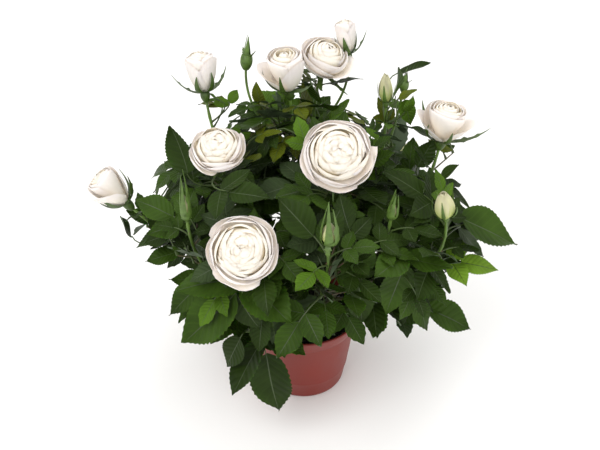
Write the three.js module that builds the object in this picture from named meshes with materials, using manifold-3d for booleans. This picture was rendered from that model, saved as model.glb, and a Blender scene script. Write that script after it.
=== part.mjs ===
// A miniature rose in flower, in its round plastic pot. Millimetres, +Z up.
// The origin is the centre of the pot's flat underside, and -Y is the front.
//
// Five canes rise from the soil. Each forks into boughs, and each bough carries one mass of foliage:
// a stem that ends in a flower, a bud or a shoot tip, with side twigs and compound leaves on it.
// A leaf is a stalk with one leaflet at its end and pairs of smaller ones behind it.

import * as THREE from "three";
import { mergeVertices } from "three/addons/utils/BufferGeometryUtils.js";
import Module from "manifold-3d";

const wasm = await Module();
wasm.setup();

const DEGREES = Math.PI / 180;
const GOLDEN_ANGLE = 137.5 * DEGREES;
const UP = new THREE.Vector3(0, 0, 1);
const EAST = new THREE.Vector3(1, 0, 0);
const CLEARANCE = 0.3; // between pieces that touch on the real plant
const SLIVER = 0.03; // a face narrower than this is closed up

// Pot and soil
const POT_HEIGHT = 82;
const RIM_RADIUS = 52.5;
const COLLAR_HEIGHT = 14; // the flared band under the rim
const COLLAR_FOOT_RADIUS = 47.4;
const BODY_TOP_RADIUS = 46.4;
const BASE_RADIUS = 37;
const BASE_ROUNDING = 4;
const POT_WALL = 1.8;
const POT_FLOOR = 2.5;
const POT_SIDES = 28;
const SOIL_TOP = 71;

// Canes: where each stands on the soil and where it forks
const CANE_FOOT_RADIUS = 3.4;
const CANE_TIP_RADIUS = 2.3;
const CANE_SIDES = 7;
const CANE_STEPS = 5;
const CANE_STRAIGHT = 16; // how far a cane's lean takes to begin
const ROOT_FLARE = 1.5; // how much wider a cane is at the soil than just above it
const CANES = {
  front: { foot: [-3, -16], tip: [1, -32, 118] },
  left: { foot: [-18, -2], tip: [-38, -9, 118] },
  right: { foot: [17, -3], tip: [38, -8, 118] },
  back_left: { foot: [-10, 14], tip: [-22, 33, 122] },
  back_right: { foot: [11, 14], tip: [24, 31, 122] },
};

// Boughs, stems and twigs
const BOUGH_FOOT_RADIUS = 1.9;
const BOUGH_TIP_RADIUS = 1.4;
const BOUGH_SIDES = 5;
const STEM_TIP_RADIUS = 1.15;
const STEM_STEPS = 5;
const TWIG_FOOT_RADIUS = 0.9;
const TWIG_TIP_RADIUS = 0.85;
const TWIG_SIDES = 3;
const STALK_RADIUS = 0.8;
const STALK_FOOT_RADIUS = 0.4; // small enough to lie inside a twig
const FLOWER_STALK = 0.55; // straight run of the stem under a flower, of the stem's length
const TIP_RISE = 0.25; // how far a shoot without a flower turns up at its tip
const TWIG_LENGTHS = [24, 40];
const TWIG_AHEAD = 0.6; // how far a side twig leans along its stem
const TWIG_MARGIN = 15; // kept between a twig's end and the edge of its shoot's space
const FIRST_TWIG = 0.06; // where side twigs begin on a stem, as a share of it
const TWIG_STRETCH = 0.6; // and the share that they are spread over
const UPRIGHT = 0.95; // a direction this far up has its sides told from the x axis

// Leaves
const LEAFLET_WIDTH = 0.64; // of its length
const LEAFLET_WIDEST = 0.42; // how far along it is widest
const LEAFLET_KEEL = 0.035; // how deep the midrib lies, of its length
const OUTLINE_STOPS = [0, 0.2, 0.42, 0.75, 1]; // where its outline is tried against other things
const LATERAL_SIZES = [0.84, 0.66]; // of the end leaflet, from the outer pair inwards
const LATERAL_START = 0.26; // from the end leaflet to the outer pair, of the end leaflet's length
const LATERAL_SPACING = 0.45; // between the pairs
const LATERAL_ANGLE = 64 * DEGREES;
const FIRST_JOIN = 0.2; // the least share of the stalk under the innermost pair
const STEM_LEAVES = [0.06, 0.24, 0.42]; // where leaves grow, as shares of the stem
const TWIG_LEAVES = [0.99, 0.6, 0.25]; // and of a side twig
const ONE_PAIR = 0.9; // share of leaves with three leaflets, where the rest have five
const LEAF_SIZES = [0.9, 1.12]; // of the shoot's usual leaflet
const STALK_LENGTH = 0.9; // of the end leaflet, on leaves grown by rule
const STALK_STRAIGHT = 0.45; // straight run of a stalk under its end leaflet
const LEAF_AHEAD = 0.55; // how far a leaf leans along its twig
const END_LEAF_AHEAD = 1.6; // and at the twig's end
const TWIG_END = 0.98; // from this share of a twig on, a leaf counts as its end leaf
const LEAN_ASIDE = 0.3; // how far chance turns a leaf's face aside, either way
const LEAN_UP = [-0.1, 0.2]; // and up
const LEAF_LIFT = 0.8; // how far leaves turn their faces up
const LEAF_OUTWARD = 0.65; // and out
const LEAF_DROOP = 0.42;
const LEAF_CLEARANCE = 1.5; // kept from all that a leaflet doesn't grow from
const SHOWN_CLEARANCE = 0.6;
const SHOWN_FOOT_BACK = 0.15; // how far down the stem a leaf with a place starts, of the stem's length
const TRIES = 16; // turns that a leaf is tried at before it is skipped
const TRY_SHRINK = 0.02; // how much smaller it gets with each
const LOWEST_LEAF = 14; // above the table
const LIMB_REACH = 24; // beyond half a leaflet's length, no limb comes near it
const TWIG_REACH = 40; // and no limb comes near a twig from farther than this

// The crown that the leaves grown by rule stay in
const CROWN_CENTRE = new THREE.Vector3(3, 4, 180);
const CROWN_RADII = new THREE.Vector3(156, 148, 112);

// Flowers: kind, centre, the way it faces, width, and height where it isn't wide open
const flower = (kind, at, facing, width, height = width / 2) => ({ kind, at, facing, width, height });
const FLOWERS = {
  bloom_top: flower("open", [26, -45, 283], [0.02, -0.62, 0.78], 60),
  bloom_front: flower("open", [-48, -110, 238], [-0.05, -0.7, 0.72], 57),
  bloom_left: flower("open", [-70, -25, 275], [-0.1, -0.3, 0.95], 46),
  bloom_rear: flower("open", [30, 140, 170], [0.1, 0.8, 0.6], 54),
  cup_left: flower("goblet", [-15, 46, 299], [-0.12, 0, 0.99], 36, 36),
  cup_right: flower("half", [18, 82, 289], [0.2, -0.2, 0.95], 44, 29),
  cup_far_right: flower("half", [117, 25, 262], [0.15, 0.1, 0.98], 40, 32),
  cup_rear_left: flower("half", [-66, 122, 166], [-0.35, 0.7, 0.62], 40, 31),
  bud_left_tall: flower("goblet", [-86, 60, 289], [-0.14, 0.3, 0.95], 29, 34),
  bud_top: flower("goblet", [36, 102, 298], [-0.14, 0.3, 0.95], 20, 29),
  bud_far_left: flower("goblet", [-160, -10, 220], [-0.66, 0.1, 0.74], 30, 34),
  bud_back_right: flower("bud", [68, 50, 280], [-0.05, 0.2, 0.98], 13, 26),
  bud_right: flower("bud", [110, -65, 247], [-0.15, -0.1, 0.98], 18, 26),
  bud_rear_right: flower("bud", [96, 116, 164], [0.5, 0.6, 0.62], 20, 28),
  green_tall: flower("green", [-48, 70, 300], [0.08, 0.2, 0.97], 12, 24),
  green_front: flower("green", [19, -105, 254], [0, -0.1, 0.99], 15, 27),
  green_slim: flower("green", [-94, -65, 248], [-0.05, 0, 1], 9, 30),
  green_right: flower("green", [70, -66, 244], [0.1, -0.1, 0.99], 9, 19),
  green_small: flower("green", [85, 65, 276], [0.15, 0.2, 0.96], 9, 16),
};

// Shoots, one for each mass of foliage. cane and up say where its bough leaves, and bough is the share of
// the shoot that is bough. It ends in a flower, or at a tip. also names further flowers and how far along
// the stem each branches off. Its leaves keep to the space round middle, within radius.
const SHOOTS = {
  front_left: {
    cane: "front", up: 1, bough: 0.42, ends: "bloom_front",
    middle: [-50, -84, 182], radius: 86, twigs: 2, leaflet: 46, seed: 11,
  },
  low_front: {
    cane: "front", up: 0.55, bough: 0.4, tip: [-54, -72, 116],
    middle: [-46, -76, 108], radius: 76, twigs: 2, leaflet: 43, seed: 12,
  },
  front: {
    cane: "front", up: 0.85, bough: 0.4, ends: "green_front",
    middle: [14, -84, 178], radius: 84, twigs: 3, leaflet: 43, seed: 13,
  },
  top: {
    cane: "front", up: 0.7, bough: 0.45, ends: "bloom_top",
    middle: [18, -36, 222], radius: 80, twigs: 2, leaflet: 41, seed: 14,
  },
  left_front: {
    cane: "left", up: 0.8, bough: 0.38, ends: "green_slim",
    middle: [-96, -52, 190], radius: 80, twigs: 2, leaflet: 39, seed: 21,
  },
  left: {
    cane: "left", up: 1, bough: 0.38, ends: "bud_far_left",
    middle: [-108, 2, 180], radius: 84, twigs: 3, leaflet: 41, seed: 22,
  },
  low_left: {
    cane: "left", up: 0.55, bough: 0.42, tip: [-106, -46, 138],
    middle: [-98, -40, 140], radius: 76, twigs: 2, leaflet: 39, seed: 23,
  },
  left_high: {
    cane: "left", up: 0.9, bough: 0.42, ends: "bloom_left",
    middle: [-70, -12, 220], radius: 80, twigs: 2, leaflet: 43, seed: 24,
  },
  front_right: {
    cane: "right", up: 0.8, bough: 0.4, ends: "green_right",
    middle: [64, -74, 162], radius: 84, twigs: 3, leaflet: 45, seed: 31,
  },
  right: {
    cane: "right", up: 1, bough: 0.38, ends: "bud_right",
    middle: [106, -34, 190], radius: 86, twigs: 3, leaflet: 45, seed: 32,
  },
  low_right: {
    cane: "right", up: 0.55, bough: 0.42, tip: [98, -40, 138],
    middle: [92, -34, 136], radius: 76, twigs: 2, leaflet: 43, seed: 33,
  },
  right_high: {
    cane: "right", up: 0.9, bough: 0.4, ends: "cup_far_right",
    middle: [104, 32, 206], radius: 80, twigs: 2, leaflet: 39, seed: 34,
  },
  left_back_high: {
    cane: "back_left", up: 0.82, bough: 0.4, ends: "bud_left_tall",
    middle: [-80, 48, 220], radius: 78, twigs: 2, leaflet: 37, seed: 41,
  },
  back_left_high: {
    cane: "back_left", up: 1, bough: 0.45, ends: "cup_left", also: { green_tall: 0.3 },
    middle: [-28, 46, 234], radius: 78, twigs: 2, leaflet: 36, seed: 42,
  },
  rear_left: {
    cane: "back_left", up: 0.7, bough: 0.42, ends: "cup_rear_left",
    middle: [-82, 92, 172], radius: 86, twigs: 3, leaflet: 43, seed: 43,
  },
  low_rear: {
    cane: "back_left", up: 0.53, bough: 0.42, tip: [-18, 104, 128],
    middle: [-14, 96, 126], radius: 78, twigs: 2, leaflet: 43, seed: 44,
  },
  back_high: {
    cane: "back_right", up: 1, bough: 0.45, ends: "cup_right", also: { bud_top: 0.3 },
    middle: [28, 70, 232], radius: 78, twigs: 2, leaflet: 37, seed: 51,
  },
  back_right_high: {
    cane: "back_right", up: 0.85, bough: 0.42, ends: "bud_back_right", also: { green_small: 0.35 },
    middle: [72, 48, 226], radius: 76, twigs: 2, leaflet: 37, seed: 52,
  },
  rear_right: {
    cane: "back_right", up: 0.7, bough: 0.42, ends: "bud_rear_right",
    middle: [86, 84, 172], radius: 86, twigs: 3, leaflet: 43, seed: 53,
  },
  rear: {
    cane: "back_right", up: 0.55, bough: 0.42, ends: "bloom_rear",
    middle: [10, 108, 178], radius: 82, twigs: 2, leaflet: 43, seed: 54,
  },
};

// The leaves that make the crown's outline and face: the shoot each grows on, where its end leaflet
// starts, where its tip is, its pairs of lateral leaflets, and what more turns its face than sky and crown
const shown = (shoot, joint, tip, pairs, lean = [0, 0, 0]) => ({ shoot, joint, tip, pairs, lean });
const SHOWN_LEAVES = [
  shown("right", [127, -45, 219], [178, -42, 189], 0),
  shown("low_front", [-32, -86, 104], [-22, -94, 43], 1),
  shown("front_left", [-56, -100, 184], [-101, -102, 132], 2),
  shown("front", [-12, -88, 167], [26, -94, 132], 1),
  shown("front_left", [-54, -97, 180], [-36, -104, 148], 0),
  shown("low_front", [-20, -88, 152], [-27, -98, 126], 0),
  shown("front_right", [80, -88, 203], [66, -96, 158], 2),
  shown("front_right", [43, -92, 193], [47, -98, 151], 1),
  shown("front_right", [45, -92, 198], [47, -90, 232], 0),
  shown("right", [90, -62, 184], [131, -66, 170], 1),
  shown("low_right", [104, -50, 124], [145, -52, 102], 1),
  shown("low_right", [130, -42, 168], [163, -44, 162], 1),
  shown("low_left", [-86, -72, 170], [-113, -82, 145], 1),
  shown("low_left", [-80, -70, 150], [-98, -82, 126], 1),
  shown("left_front", [-103, -47, 184], [-132, -49, 175], 0),
  shown("left_front", [-106, -45, 219], [-138, -32, 227], 1),
  shown("left", [-110, -28, 192], [-141, -34, 178], 1),
  shown("left", [-107, 5, 230], [-127, -5, 213], 1),
  shown("left_high", [-96, -12, 237], [-110, 0, 276], 1),
  shown("left_high", [-59, -68, 262], [-27, -78, 265], 1),
  shown("front", [7, -92, 237], [-21, -75, 263], 1),
  shown("right_high", [106, -30, 213], [81, -34, 206], 0),
  shown("right_high", [121, -5, 217], [139, -10, 202], 1),
  shown("right_high", [96, 22, 219], [110, 30, 242], 1),
  shown("back_right_high", [80, 68, 284], [106, 72, 293], 0),
  shown("back_right_high", [84, 46, 271], [90, 38, 250], 0, [-0.4, -2, 0.4]),
  shown("left_back_high", [-66, 57, 262], [-84, 60, 262], 1),
  shown("back_left_high", [-36, 58, 257], [-41, 62, 278], 1),
  shown("back_left_high", [-23, 25, 257], [2, 20, 262], 1),
  shown("top", [-28, 5, 262], [-38, -5, 246], 1),
  shown("back_high", [13, 55, 261], [4, 54, 284], 1),
];

// Seeded draws, the same on every run
class Draws {
  constructor(seed) {
    this.state = seed;
  }
  next() {
    this.state = (Math.imul(this.state, 1664525) + 1013904223) >>> 0;
    return this.state / 2 ** 32;
  }
  between(low, high) {
    return low + (high - low) * this.next();
  }
}

const at = (place) => new THREE.Vector3(...place);
const towards = (from, to) => to.clone().sub(from).normalize();
const along = (start, direction, distance) => start.clone().addScaledVector(direction, distance);

// The part of a direction that is square to another, as a unit
function squareTo(direction, axis) {
  return direction.clone().addScaledVector(axis, -direction.dot(axis)).normalize();
}

// A direction square to an axis
const sideOf = (axis) => squareTo(Math.abs(axis.z) > UPRIGHT ? EAST : UP, axis);

// An even arc from start to end that arrives in the direction `arrives`
function arc(start, end, arrives, straight = 0.5) {
  const control = along(end, arrives, -straight * start.distanceTo(end));
  return new THREE.QuadraticBezierCurve3(start, control, end);
}

// The stretch of an arc between two shares of its length
function stretch(curve, from, to) {
  const start = curve.getPoint(from);
  const end = curve.getPoint(to);
  const leaves = curve.v1.clone().lerp(curve.v2, from).sub(curve.v0.clone().lerp(curve.v1, from));
  const control = along(start, leaves, to - from);
  return new THREE.QuadraticBezierCurve3(start, control, end);
}

// Solids

function solidOf(geometry) {
  geometry.deleteAttribute("normal");
  geometry.deleteAttribute("uv");
  const merged = mergeVertices(geometry, 1e-4);
  return new wasm.Manifold(
    new wasm.Mesh({
      numProp: 3,
      vertProperties: new Float32Array(merged.getAttribute("position").array),
      triVerts: new Uint32Array(merged.index.array),
    }),
  );
}

function reshape(geometry, place) {
  const position = geometry.getAttribute("position");
  const vertex = new THREE.Vector3();
  for (let i = 0; i < position.count; i += 1) {
    vertex.fromBufferAttribute(position, i);
    position.setXYZ(i, ...place(vertex).toArray());
  }
  return geometry;
}

// A closed cylinder bent onto an arc. radiusAt takes the share of the way along.
function limbSolid(curve, radiusAt, sides, steps) {
  const bend = new THREE.Vector3().crossVectors(towards(curve.v0, curve.v1), towards(curve.v0, curve.v2));
  const flat = bend.lengthSq() < 1e-8;
  const spare = sideOf(towards(curve.v0, curve.v2));
  const geometry = new THREE.CylinderGeometry(1, 1, 1, sides, steps);
  return solidOf(
    reshape(geometry, ({ x, y, z }) => {
      const share = y + 0.5;
      const heading = curve.getTangent(share);
      const side = squareTo(flat ? spare : bend, heading);
      const other = new THREE.Vector3().crossVectors(side, heading);
      const radius = radiusAt(share);
      return along(along(curve.getPoint(share), side, x * radius), other, z * radius);
    }),
  );
}

const taper = (foot, tip) => (share) => foot + (tip - foot) * share;

// A closed three-sided body through a row of sections, drawn to a point where a section has no width.
// Each section has its middle, the directions across it and up, its half width, and its keel's depth.
function threeSidedSolid(sections) {
  const rows = sections.map((_, row) => new THREE.Vector2(1, row));
  rows.unshift(new THREE.Vector2(0, 0));
  rows.push(new THREE.Vector2(0, sections.length - 1));
  return solidOf(
    reshape(new THREE.LatheGeometry(rows, 3), ({ x, y, z }) => {
      const { middle, across, up, half, keel } = sections[Math.round(y)];
      const side = (x / Math.sin(120 * DEGREES)) * half;
      return along(along(middle, across, side), up, z > 0.5 ? -keel : 0);
    }),
  );
}

function leafletSections({ base, heading, face, across, length, width }) {
  const section = (share, half, keel) =>
    ({ middle: along(base, heading, share * length), across, up: face, half, keel });
  return [section(0, 0, 0), section(LEAFLET_WIDEST, width / 2, LEAFLET_KEEL * length), section(1, 0, 0)];
}

const leafletSolid = (plate) => threeSidedSolid(leafletSections(plate));

// A leaf's stalk and end leaflet in one. The stalk has a section where each pair of laterals joins it.
function stalkSolid(stalk, joins, plate) {
  const sections = [0, ...joins, 1].map((share) => {
    const across = new THREE.Vector3().crossVectors(plate.face, stalk.getTangent(share)).normalize();
    const up = new THREE.Vector3().crossVectors(stalk.getTangent(share), across);
    const radius = share === 0 ? STALK_FOOT_RADIUS : STALK_RADIUS;
    const middle = along(stalk.getPoint(share), up, radius / 2);
    return { middle, across, up, half: radius * Math.sin(120 * DEGREES), keel: radius * 1.5 };
  });
  return threeSidedSolid([...sections, ...leafletSections(plate).slice(1)]);
}

// Kinds of flower. profile runs from the seat on the stem, up the outside, over each ring of petals and
// down to the heart, as [radius, height] in shares of half the width and of the height. A wide open
// flower's height is half its width. lobes is how far the petals stand out of the round, and seat is how
// far under its centre a flower's stem ends, of its height.
const KINDS = {
  open: {
    profile: [
      [0, -0.62], [0.16, -0.6], [0.24, -0.42], [1, -0.04], [0.74, -0.02], [0.68, 0.22], [0.46, 0.14],
      [0.34, 0.32], [0, 0.22],
    ],
    sides: 10, lobes: 0.06, seat: 0.54, sepals: null,
  },
  half: {
    profile: [[0, -0.56], [0.24, -0.54], [0.84, -0.24], [1, 0.3], [0.72, 0.28], [0.56, 0.5], [0, 0.4]],
    sides: 10, lobes: 0.06, seat: 0.46, sepals: { root: 0.12, spread: 1.2, length: 0.62 },
  },
  goblet: {
    profile: [[0, -0.5], [0.3, -0.48], [0.8, -0.2], [1, 0.24], [0.8, 0.46], [0, 0.4]],
    sides: 8, lobes: 0.04, seat: 0.46, sepals: { root: 0.15, spread: 1, length: 0.8 },
  },
  bud: {
    profile: [[0, -0.5], [0.4, -0.46], [0.96, -0.14], [0.9, 0.2], [0.44, 0.46], [0, 0.5]],
    sides: 7, lobes: 0, seat: 0.46, sepals: { root: 0.2, spread: 0.8, length: 0.85 },
  },
  green: {
    profile: [[0, -0.5], [0.5, -0.44], [1, -0.16], [0.8, 0.16], [0, 0.5]],
    sides: 6, lobes: 0, seat: 0.46, sepals: { root: 0.6, spread: 0.19, length: 1.35 },
  },
};
const PETAL_LOBES = 5;
const SEPALS = 5;
const SEPAL_WIDTH = 4;

function flowerSolids({ kind, at: place, facing, width, height }) {
  const { profile, sides, lobes, sepals } = KINDS[kind];
  const radius = width / 2;
  const points = profile.map(([r, h]) => new THREE.Vector2(r * radius, h * height));
  const geometry = new THREE.LatheGeometry(points, sides);
  reshape(geometry, (vertex) => {
    const turn = Math.atan2(vertex.x, vertex.z);
    const ring = Math.round((2 * Math.hypot(vertex.x, vertex.z)) / radius);
    const grow = 1 + lobes * Math.cos(PETAL_LOBES * turn + ring * Math.PI);
    return new THREE.Vector3(vertex.x * grow, vertex.y, vertex.z * grow);
  });
  const heading = at(facing).normalize();
  geometry.applyQuaternion(new THREE.Quaternion().setFromUnitVectors(new THREE.Vector3(0, 1, 0), heading));
  geometry.translate(...place);
  const solids = [solidOf(geometry)];
  if (!sepals) return solids;
  const seat = along(at(place), heading, points[1].y);
  const side = sideOf(heading);
  for (let i = 0; i < SEPALS; i += 1) {
    const out = side.clone().applyAxisAngle(heading, (i * 2 * Math.PI) / SEPALS);
    const line = along(heading, out, sepals.spread).normalize();
    const root = along(seat, out, sepals.root * radius);
    solids.push(leafletSolid(plateOf(root, line, squareTo(out, line), sepals.length * height, SEPAL_WIDTH)));
  }
  return solids;
}

// Room: what has grown already, so that nothing new runs into it

const grown = { plates: [], limbs: [], flowers: [] };
const LIMB_PIECES = 8;
const STEM_PIECES = 10;
const TWIG_PIECES = 4;

const segmentsOf = (curve, steps) =>
  Array.from({ length: steps }, (_, i) => [curve.getPoint(i / steps), curve.getPoint((i + 1) / steps)]);

function keepLimb(curve, radius, shoot, pieces) {
  for (const [from, to] of segmentsOf(curve, pieces)) grown.limbs.push({ from, to, radius, shoot });
}

// Half the width of a leaflet at a share of its length: a pointed oval
function halfWidthAt(share, width) {
  const side = share < LEAFLET_WIDEST ? share / LEAFLET_WIDEST : (1 - share) / (1 - LEAFLET_WIDEST);
  return (width / 2) * Math.sqrt(Math.max(0, Math.min(1, side)));
}

// True if the line from p to q passes through a leaflet, or an end of it comes within `gap`
function crosses(plate, p, q, gap) {
  const fromP = p.clone().sub(plate.base);
  const fromQ = q.clone().sub(plate.base);
  const heightP = fromP.dot(plate.face);
  const heightQ = fromQ.dot(plate.face);
  if (heightP * heightQ > 0 && Math.min(Math.abs(heightP), Math.abs(heightQ)) > gap) return false;
  const share = heightP * heightQ > 0
    ? Number(Math.abs(heightP) > Math.abs(heightQ))
    : heightP / (heightP - heightQ || 1);
  const meets = fromP.lerp(fromQ, share);
  const run = meets.dot(plate.heading);
  if (run < -gap || run > plate.length + gap) return false;
  return Math.abs(meets.dot(plate.across)) < halfWidthAt(run / plate.length, plate.width) + gap;
}

// The flat space of one leaflet
function plateOf(base, heading, face, length, width) {
  const across = new THREE.Vector3().crossVectors(face, heading);
  const edge = (share, side) =>
    along(along(base, heading, share * length), across, side * halfWidthAt(share, width));
  const back = OUTLINE_STOPS.slice(1, -1).reverse();
  const rim = [...OUTLINE_STOPS.map((share) => edge(share, 1)), ...back.map((share) => edge(share, -1))];
  const middle = along(base, heading, length / 2);
  return { base, heading, face, across, length, width, rim, middle };
}

const rimLines = (plate) => plate.rim.map((p, i) => [p, plate.rim[(i + 1) % plate.rim.length]]);

function platesMeet(a, b, gap) {
  if (a.middle.distanceTo(b.middle) > (a.length + b.length) / 2 + gap) return false;
  const cuts = (one, other) => rimLines(one).some(([p, q]) => crosses(other, p, q, gap));
  return cuts(a, b) || cuts(b, a);
}

// The least distance between two straight lines, close enough for twigs
function lineGap(a, b) {
  const line = new THREE.Line3(b.from, b.to);
  const gaps = [0, 0.25, 0.5, 0.75, 1].map((share) => {
    const point = a.from.clone().lerp(a.to, share);
    return line.closestPointToPoint(point, true, new THREE.Vector3()).distanceTo(point);
  });
  return Math.min(...gaps);
}

function plateIsClear(plate, gap) {
  const far = plate.length / 2 + LIMB_REACH;
  return (
    grown.plates.every((other) => !platesMeet(plate, other, gap)) &&
    grown.limbs.every(
      ({ from, to, radius }) =>
        Math.min(from.distanceTo(plate.middle), to.distanceTo(plate.middle)) > far ||
        !crosses(plate, from, to, radius + gap),
    ) &&
    grown.flowers.every(({ centre, radius }) =>
      [plate.middle, ...plate.rim].every((point) => point.distanceTo(centre) > radius + gap),
    )
  );
}

// A twig's first stretch lies in what it grows from, so it isn't tried
function twigIsClear(curve, radius, shoot) {
  const room = radius + CLEARANCE;
  return segmentsOf(curve, 5).slice(1).every(([from, to]) => {
    const line = { from, to };
    return (
      grown.plates.every(
        (plate) => plate.middle.distanceTo(from) > plate.length || !crosses(plate, from, to, room),
      ) &&
      grown.limbs.every(
        (limb) =>
          limb.shoot === shoot ||
          limb.from.distanceTo(from) > TWIG_REACH ||
          lineGap(line, limb) > limb.radius + room,
      ) &&
      grown.flowers.every(({ centre, radius: size }) => to.distanceTo(centre) > size + radius)
    );
  });
}

const inCrown = (point) =>
  point.clone().sub(CROWN_CENTRE).divide(CROWN_RADII).lengthSq() < 1 && point.z > LOWEST_LEAF;

// Growth

// A compound leaf from its foot to the tip of its end leaflet, as plates and a stalk
function leafPlan(foot, joint, tip, pairs, lean) {
  const heading = towards(joint, tip);
  const length = joint.distanceTo(tip);
  const stalk = arc(foot, joint, heading, STALK_STRAIGHT);
  const outward = towards(CROWN_CENTRE, joint);
  const sky = UP.clone().multiplyScalar(LEAF_LIFT).addScaledVector(outward, LEAF_OUTWARD).add(lean);
  const plates = [plateOf(joint, heading, squareTo(sky, heading), length, length * LEAFLET_WIDTH)];
  const joins = [];
  for (let pair = 0; pair < pairs; pair += 1) {
    const share = 1 - ((LATERAL_START + pair * LATERAL_SPACING) * length) / foot.distanceTo(joint);
    if (share < FIRST_JOIN) break;
    joins.unshift(share);
    const face = squareTo(sky, stalk.getTangent(share));
    for (const side of [-1, 1]) {
      const line = stalk.getTangent(share).applyAxisAngle(face, side * LATERAL_ANGLE);
      const size = length * LATERAL_SIZES[pair];
      plates.push(plateOf(stalk.getPoint(share), line, face, size, size * LEAFLET_WIDTH));
    }
  }
  return { stalk, joins, plates };
}

function leafFits(plan, shoot) {
  return plan.plates.every((plate) => plateIsClear(plate, LEAF_CLEARANCE)) &&
    twigIsClear(plan.stalk, STALK_RADIUS, shoot);
}

function keepLeaf(plan, shoot, pieces) {
  grown.plates.push(...plan.plates);
  keepLimb(plan.stalk, STALK_RADIUS, shoot, TWIG_PIECES);
  pieces.push(stalkSolid(plan.stalk, plan.joins, plan.plates[0]));
  pieces.push(...plan.plates.slice(1).map(leafletSolid));
}

// Tries a leaf at one place on a twig, turning it a little further each time
function growLeaf(shoot, spec, curve, share, turn, draws, pieces) {
  const foot = curve.getPoint(share);
  const axis = curve.getTangent(share);
  const side = sideOf(axis);
  const aside = () => draws.between(-LEAN_ASIDE, LEAN_ASIDE);
  const lean = new THREE.Vector3(aside(), aside(), draws.between(...LEAN_UP));
  const size = spec.leaflet * draws.between(...LEAF_SIZES);
  const pairs = draws.next() < ONE_PAIR ? 1 : 2;
  for (let attempt = 0; attempt < TRIES; attempt += 1) {
    const out = side.clone().applyAxisAngle(axis, turn + attempt * GOLDEN_ANGLE);
    const length = size * (1 - TRY_SHRINK * attempt);
    const start = out.addScaledVector(axis, share > TWIG_END ? END_LEAF_AHEAD : LEAF_AHEAD).normalize();
    const joint = along(foot, start, STALK_LENGTH * length);
    const heading = start.clone().addScaledVector(UP, -LEAF_DROOP).normalize();
    const tip = along(joint, heading, length);
    const inSpace = [joint, tip].every((p) => inCrown(p) && p.distanceTo(at(spec.middle)) < spec.radius);
    if (!inSpace) continue;
    const plan = leafPlan(foot, joint, tip, attempt < TRIES / 2 ? pairs : 1, lean);
    if (!leafFits(plan, shoot)) continue;
    keepLeaf(plan, shoot, pieces);
    return;
  }
}

// A side twig with a leaf at its end and others along it
function growTwig(shoot, spec, stem, share, turn, draws, pieces) {
  const foot = stem.getPoint(share);
  const axis = stem.getTangent(share);
  const side = sideOf(axis);
  const length = draws.between(...TWIG_LENGTHS);
  for (let attempt = 0; attempt < TRIES; attempt += 1) {
    const out = side.clone().applyAxisAngle(axis, turn + attempt * GOLDEN_ANGLE);
    const heading = out.addScaledVector(axis, TWIG_AHEAD).normalize();
    const end = along(foot, heading, length);
    if (!inCrown(end) || end.distanceTo(at(spec.middle)) > spec.radius - TWIG_MARGIN) continue;
    const twig = arc(foot, end, heading);
    if (!twigIsClear(twig, TWIG_FOOT_RADIUS, shoot)) continue;
    keepLimb(twig, TWIG_FOOT_RADIUS, shoot, TWIG_PIECES);
    pieces.push(limbSolid(twig, taper(TWIG_FOOT_RADIUS, TWIG_TIP_RADIUS), TWIG_SIDES, 1));
    for (const leafShare of TWIG_LEAVES) {
      growLeaf(shoot, spec, twig, leafShare, draws.between(0, 2 * Math.PI), draws, pieces);
    }
    return;
  }
}

// A cane leaves the soil straight up, so that its foot is a flat cut, and then leans out
function caneArc({ foot, tip }) {
  const start = new THREE.Vector3(...foot, SOIL_TOP + CLEARANCE);
  return new THREE.QuadraticBezierCurve3(start, along(start, UP, CANE_STRAIGHT), at(tip));
}

const canes = Object.fromEntries(Object.entries(CANES).map(([name, cane]) => [name, caneArc(cane)]));

function shootArc(spec) {
  const start = canes[spec.cane].getPoint(spec.up);
  if (spec.tip) {
    const tip = at(spec.tip);
    return arc(start, tip, towards(start, tip).addScaledVector(UP, TIP_RISE).normalize());
  }
  const bloom = FLOWERS[spec.ends];
  return arc(start, seatOf(bloom), at(bloom.facing).normalize(), FLOWER_STALK);
}

// Where the stem ends, just inside a flower
function seatOf({ kind, at: place, facing, height }) {
  return along(at(place), at(facing).normalize(), -KINDS[kind].seat * height);
}

const shoots = Object.entries(SHOOTS).map(([name, spec]) => {
  const whole = shootArc(spec);
  const bough = stretch(whole, 0, spec.bough);
  const gap = CLEARANCE / whole.getLength();
  const stem = stretch(whole, spec.bough + gap, 1);
  const branches = Object.entries(spec.also ?? {}).map(([name, share]) => {
    const bloom = FLOWERS[name];
    return arc(stem.getPoint(share), seatOf(bloom), at(bloom.facing).normalize());
  });
  const flowers = [spec.ends, ...Object.keys(spec.also ?? {})].filter(Boolean).map((n) => FLOWERS[n]);
  return { name, spec, bough, stem, branches, flowers, pieces: [] };
});

// The limbs and flowers stand first, and leaves keep clear of them
for (const [name, cane] of Object.entries(canes)) keepLimb(cane, CANE_FOOT_RADIUS, name, LIMB_PIECES);
for (const { name, bough, stem, branches, flowers } of shoots) {
  keepLimb(bough, BOUGH_FOOT_RADIUS, name, LIMB_PIECES);
  for (const curve of [stem, ...branches]) keepLimb(curve, BOUGH_TIP_RADIUS, name, STEM_PIECES);
  for (const { at: place, width, height } of flowers) {
    grown.flowers.push({ centre: at(place), radius: Math.max(width, height) / 2 });
  }
}

for (const { name, stem, branches, flowers, pieces } of shoots) {
  pieces.push(limbSolid(stem, taper(BOUGH_TIP_RADIUS, STEM_TIP_RADIUS), BOUGH_SIDES, STEM_STEPS));
  for (const branch of branches) {
    pieces.push(limbSolid(branch, taper(TWIG_FOOT_RADIUS, STEM_TIP_RADIUS), BOUGH_SIDES, 3));
  }
  for (const each of flowers) pieces.push(...flowerSolids(each));
}

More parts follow.
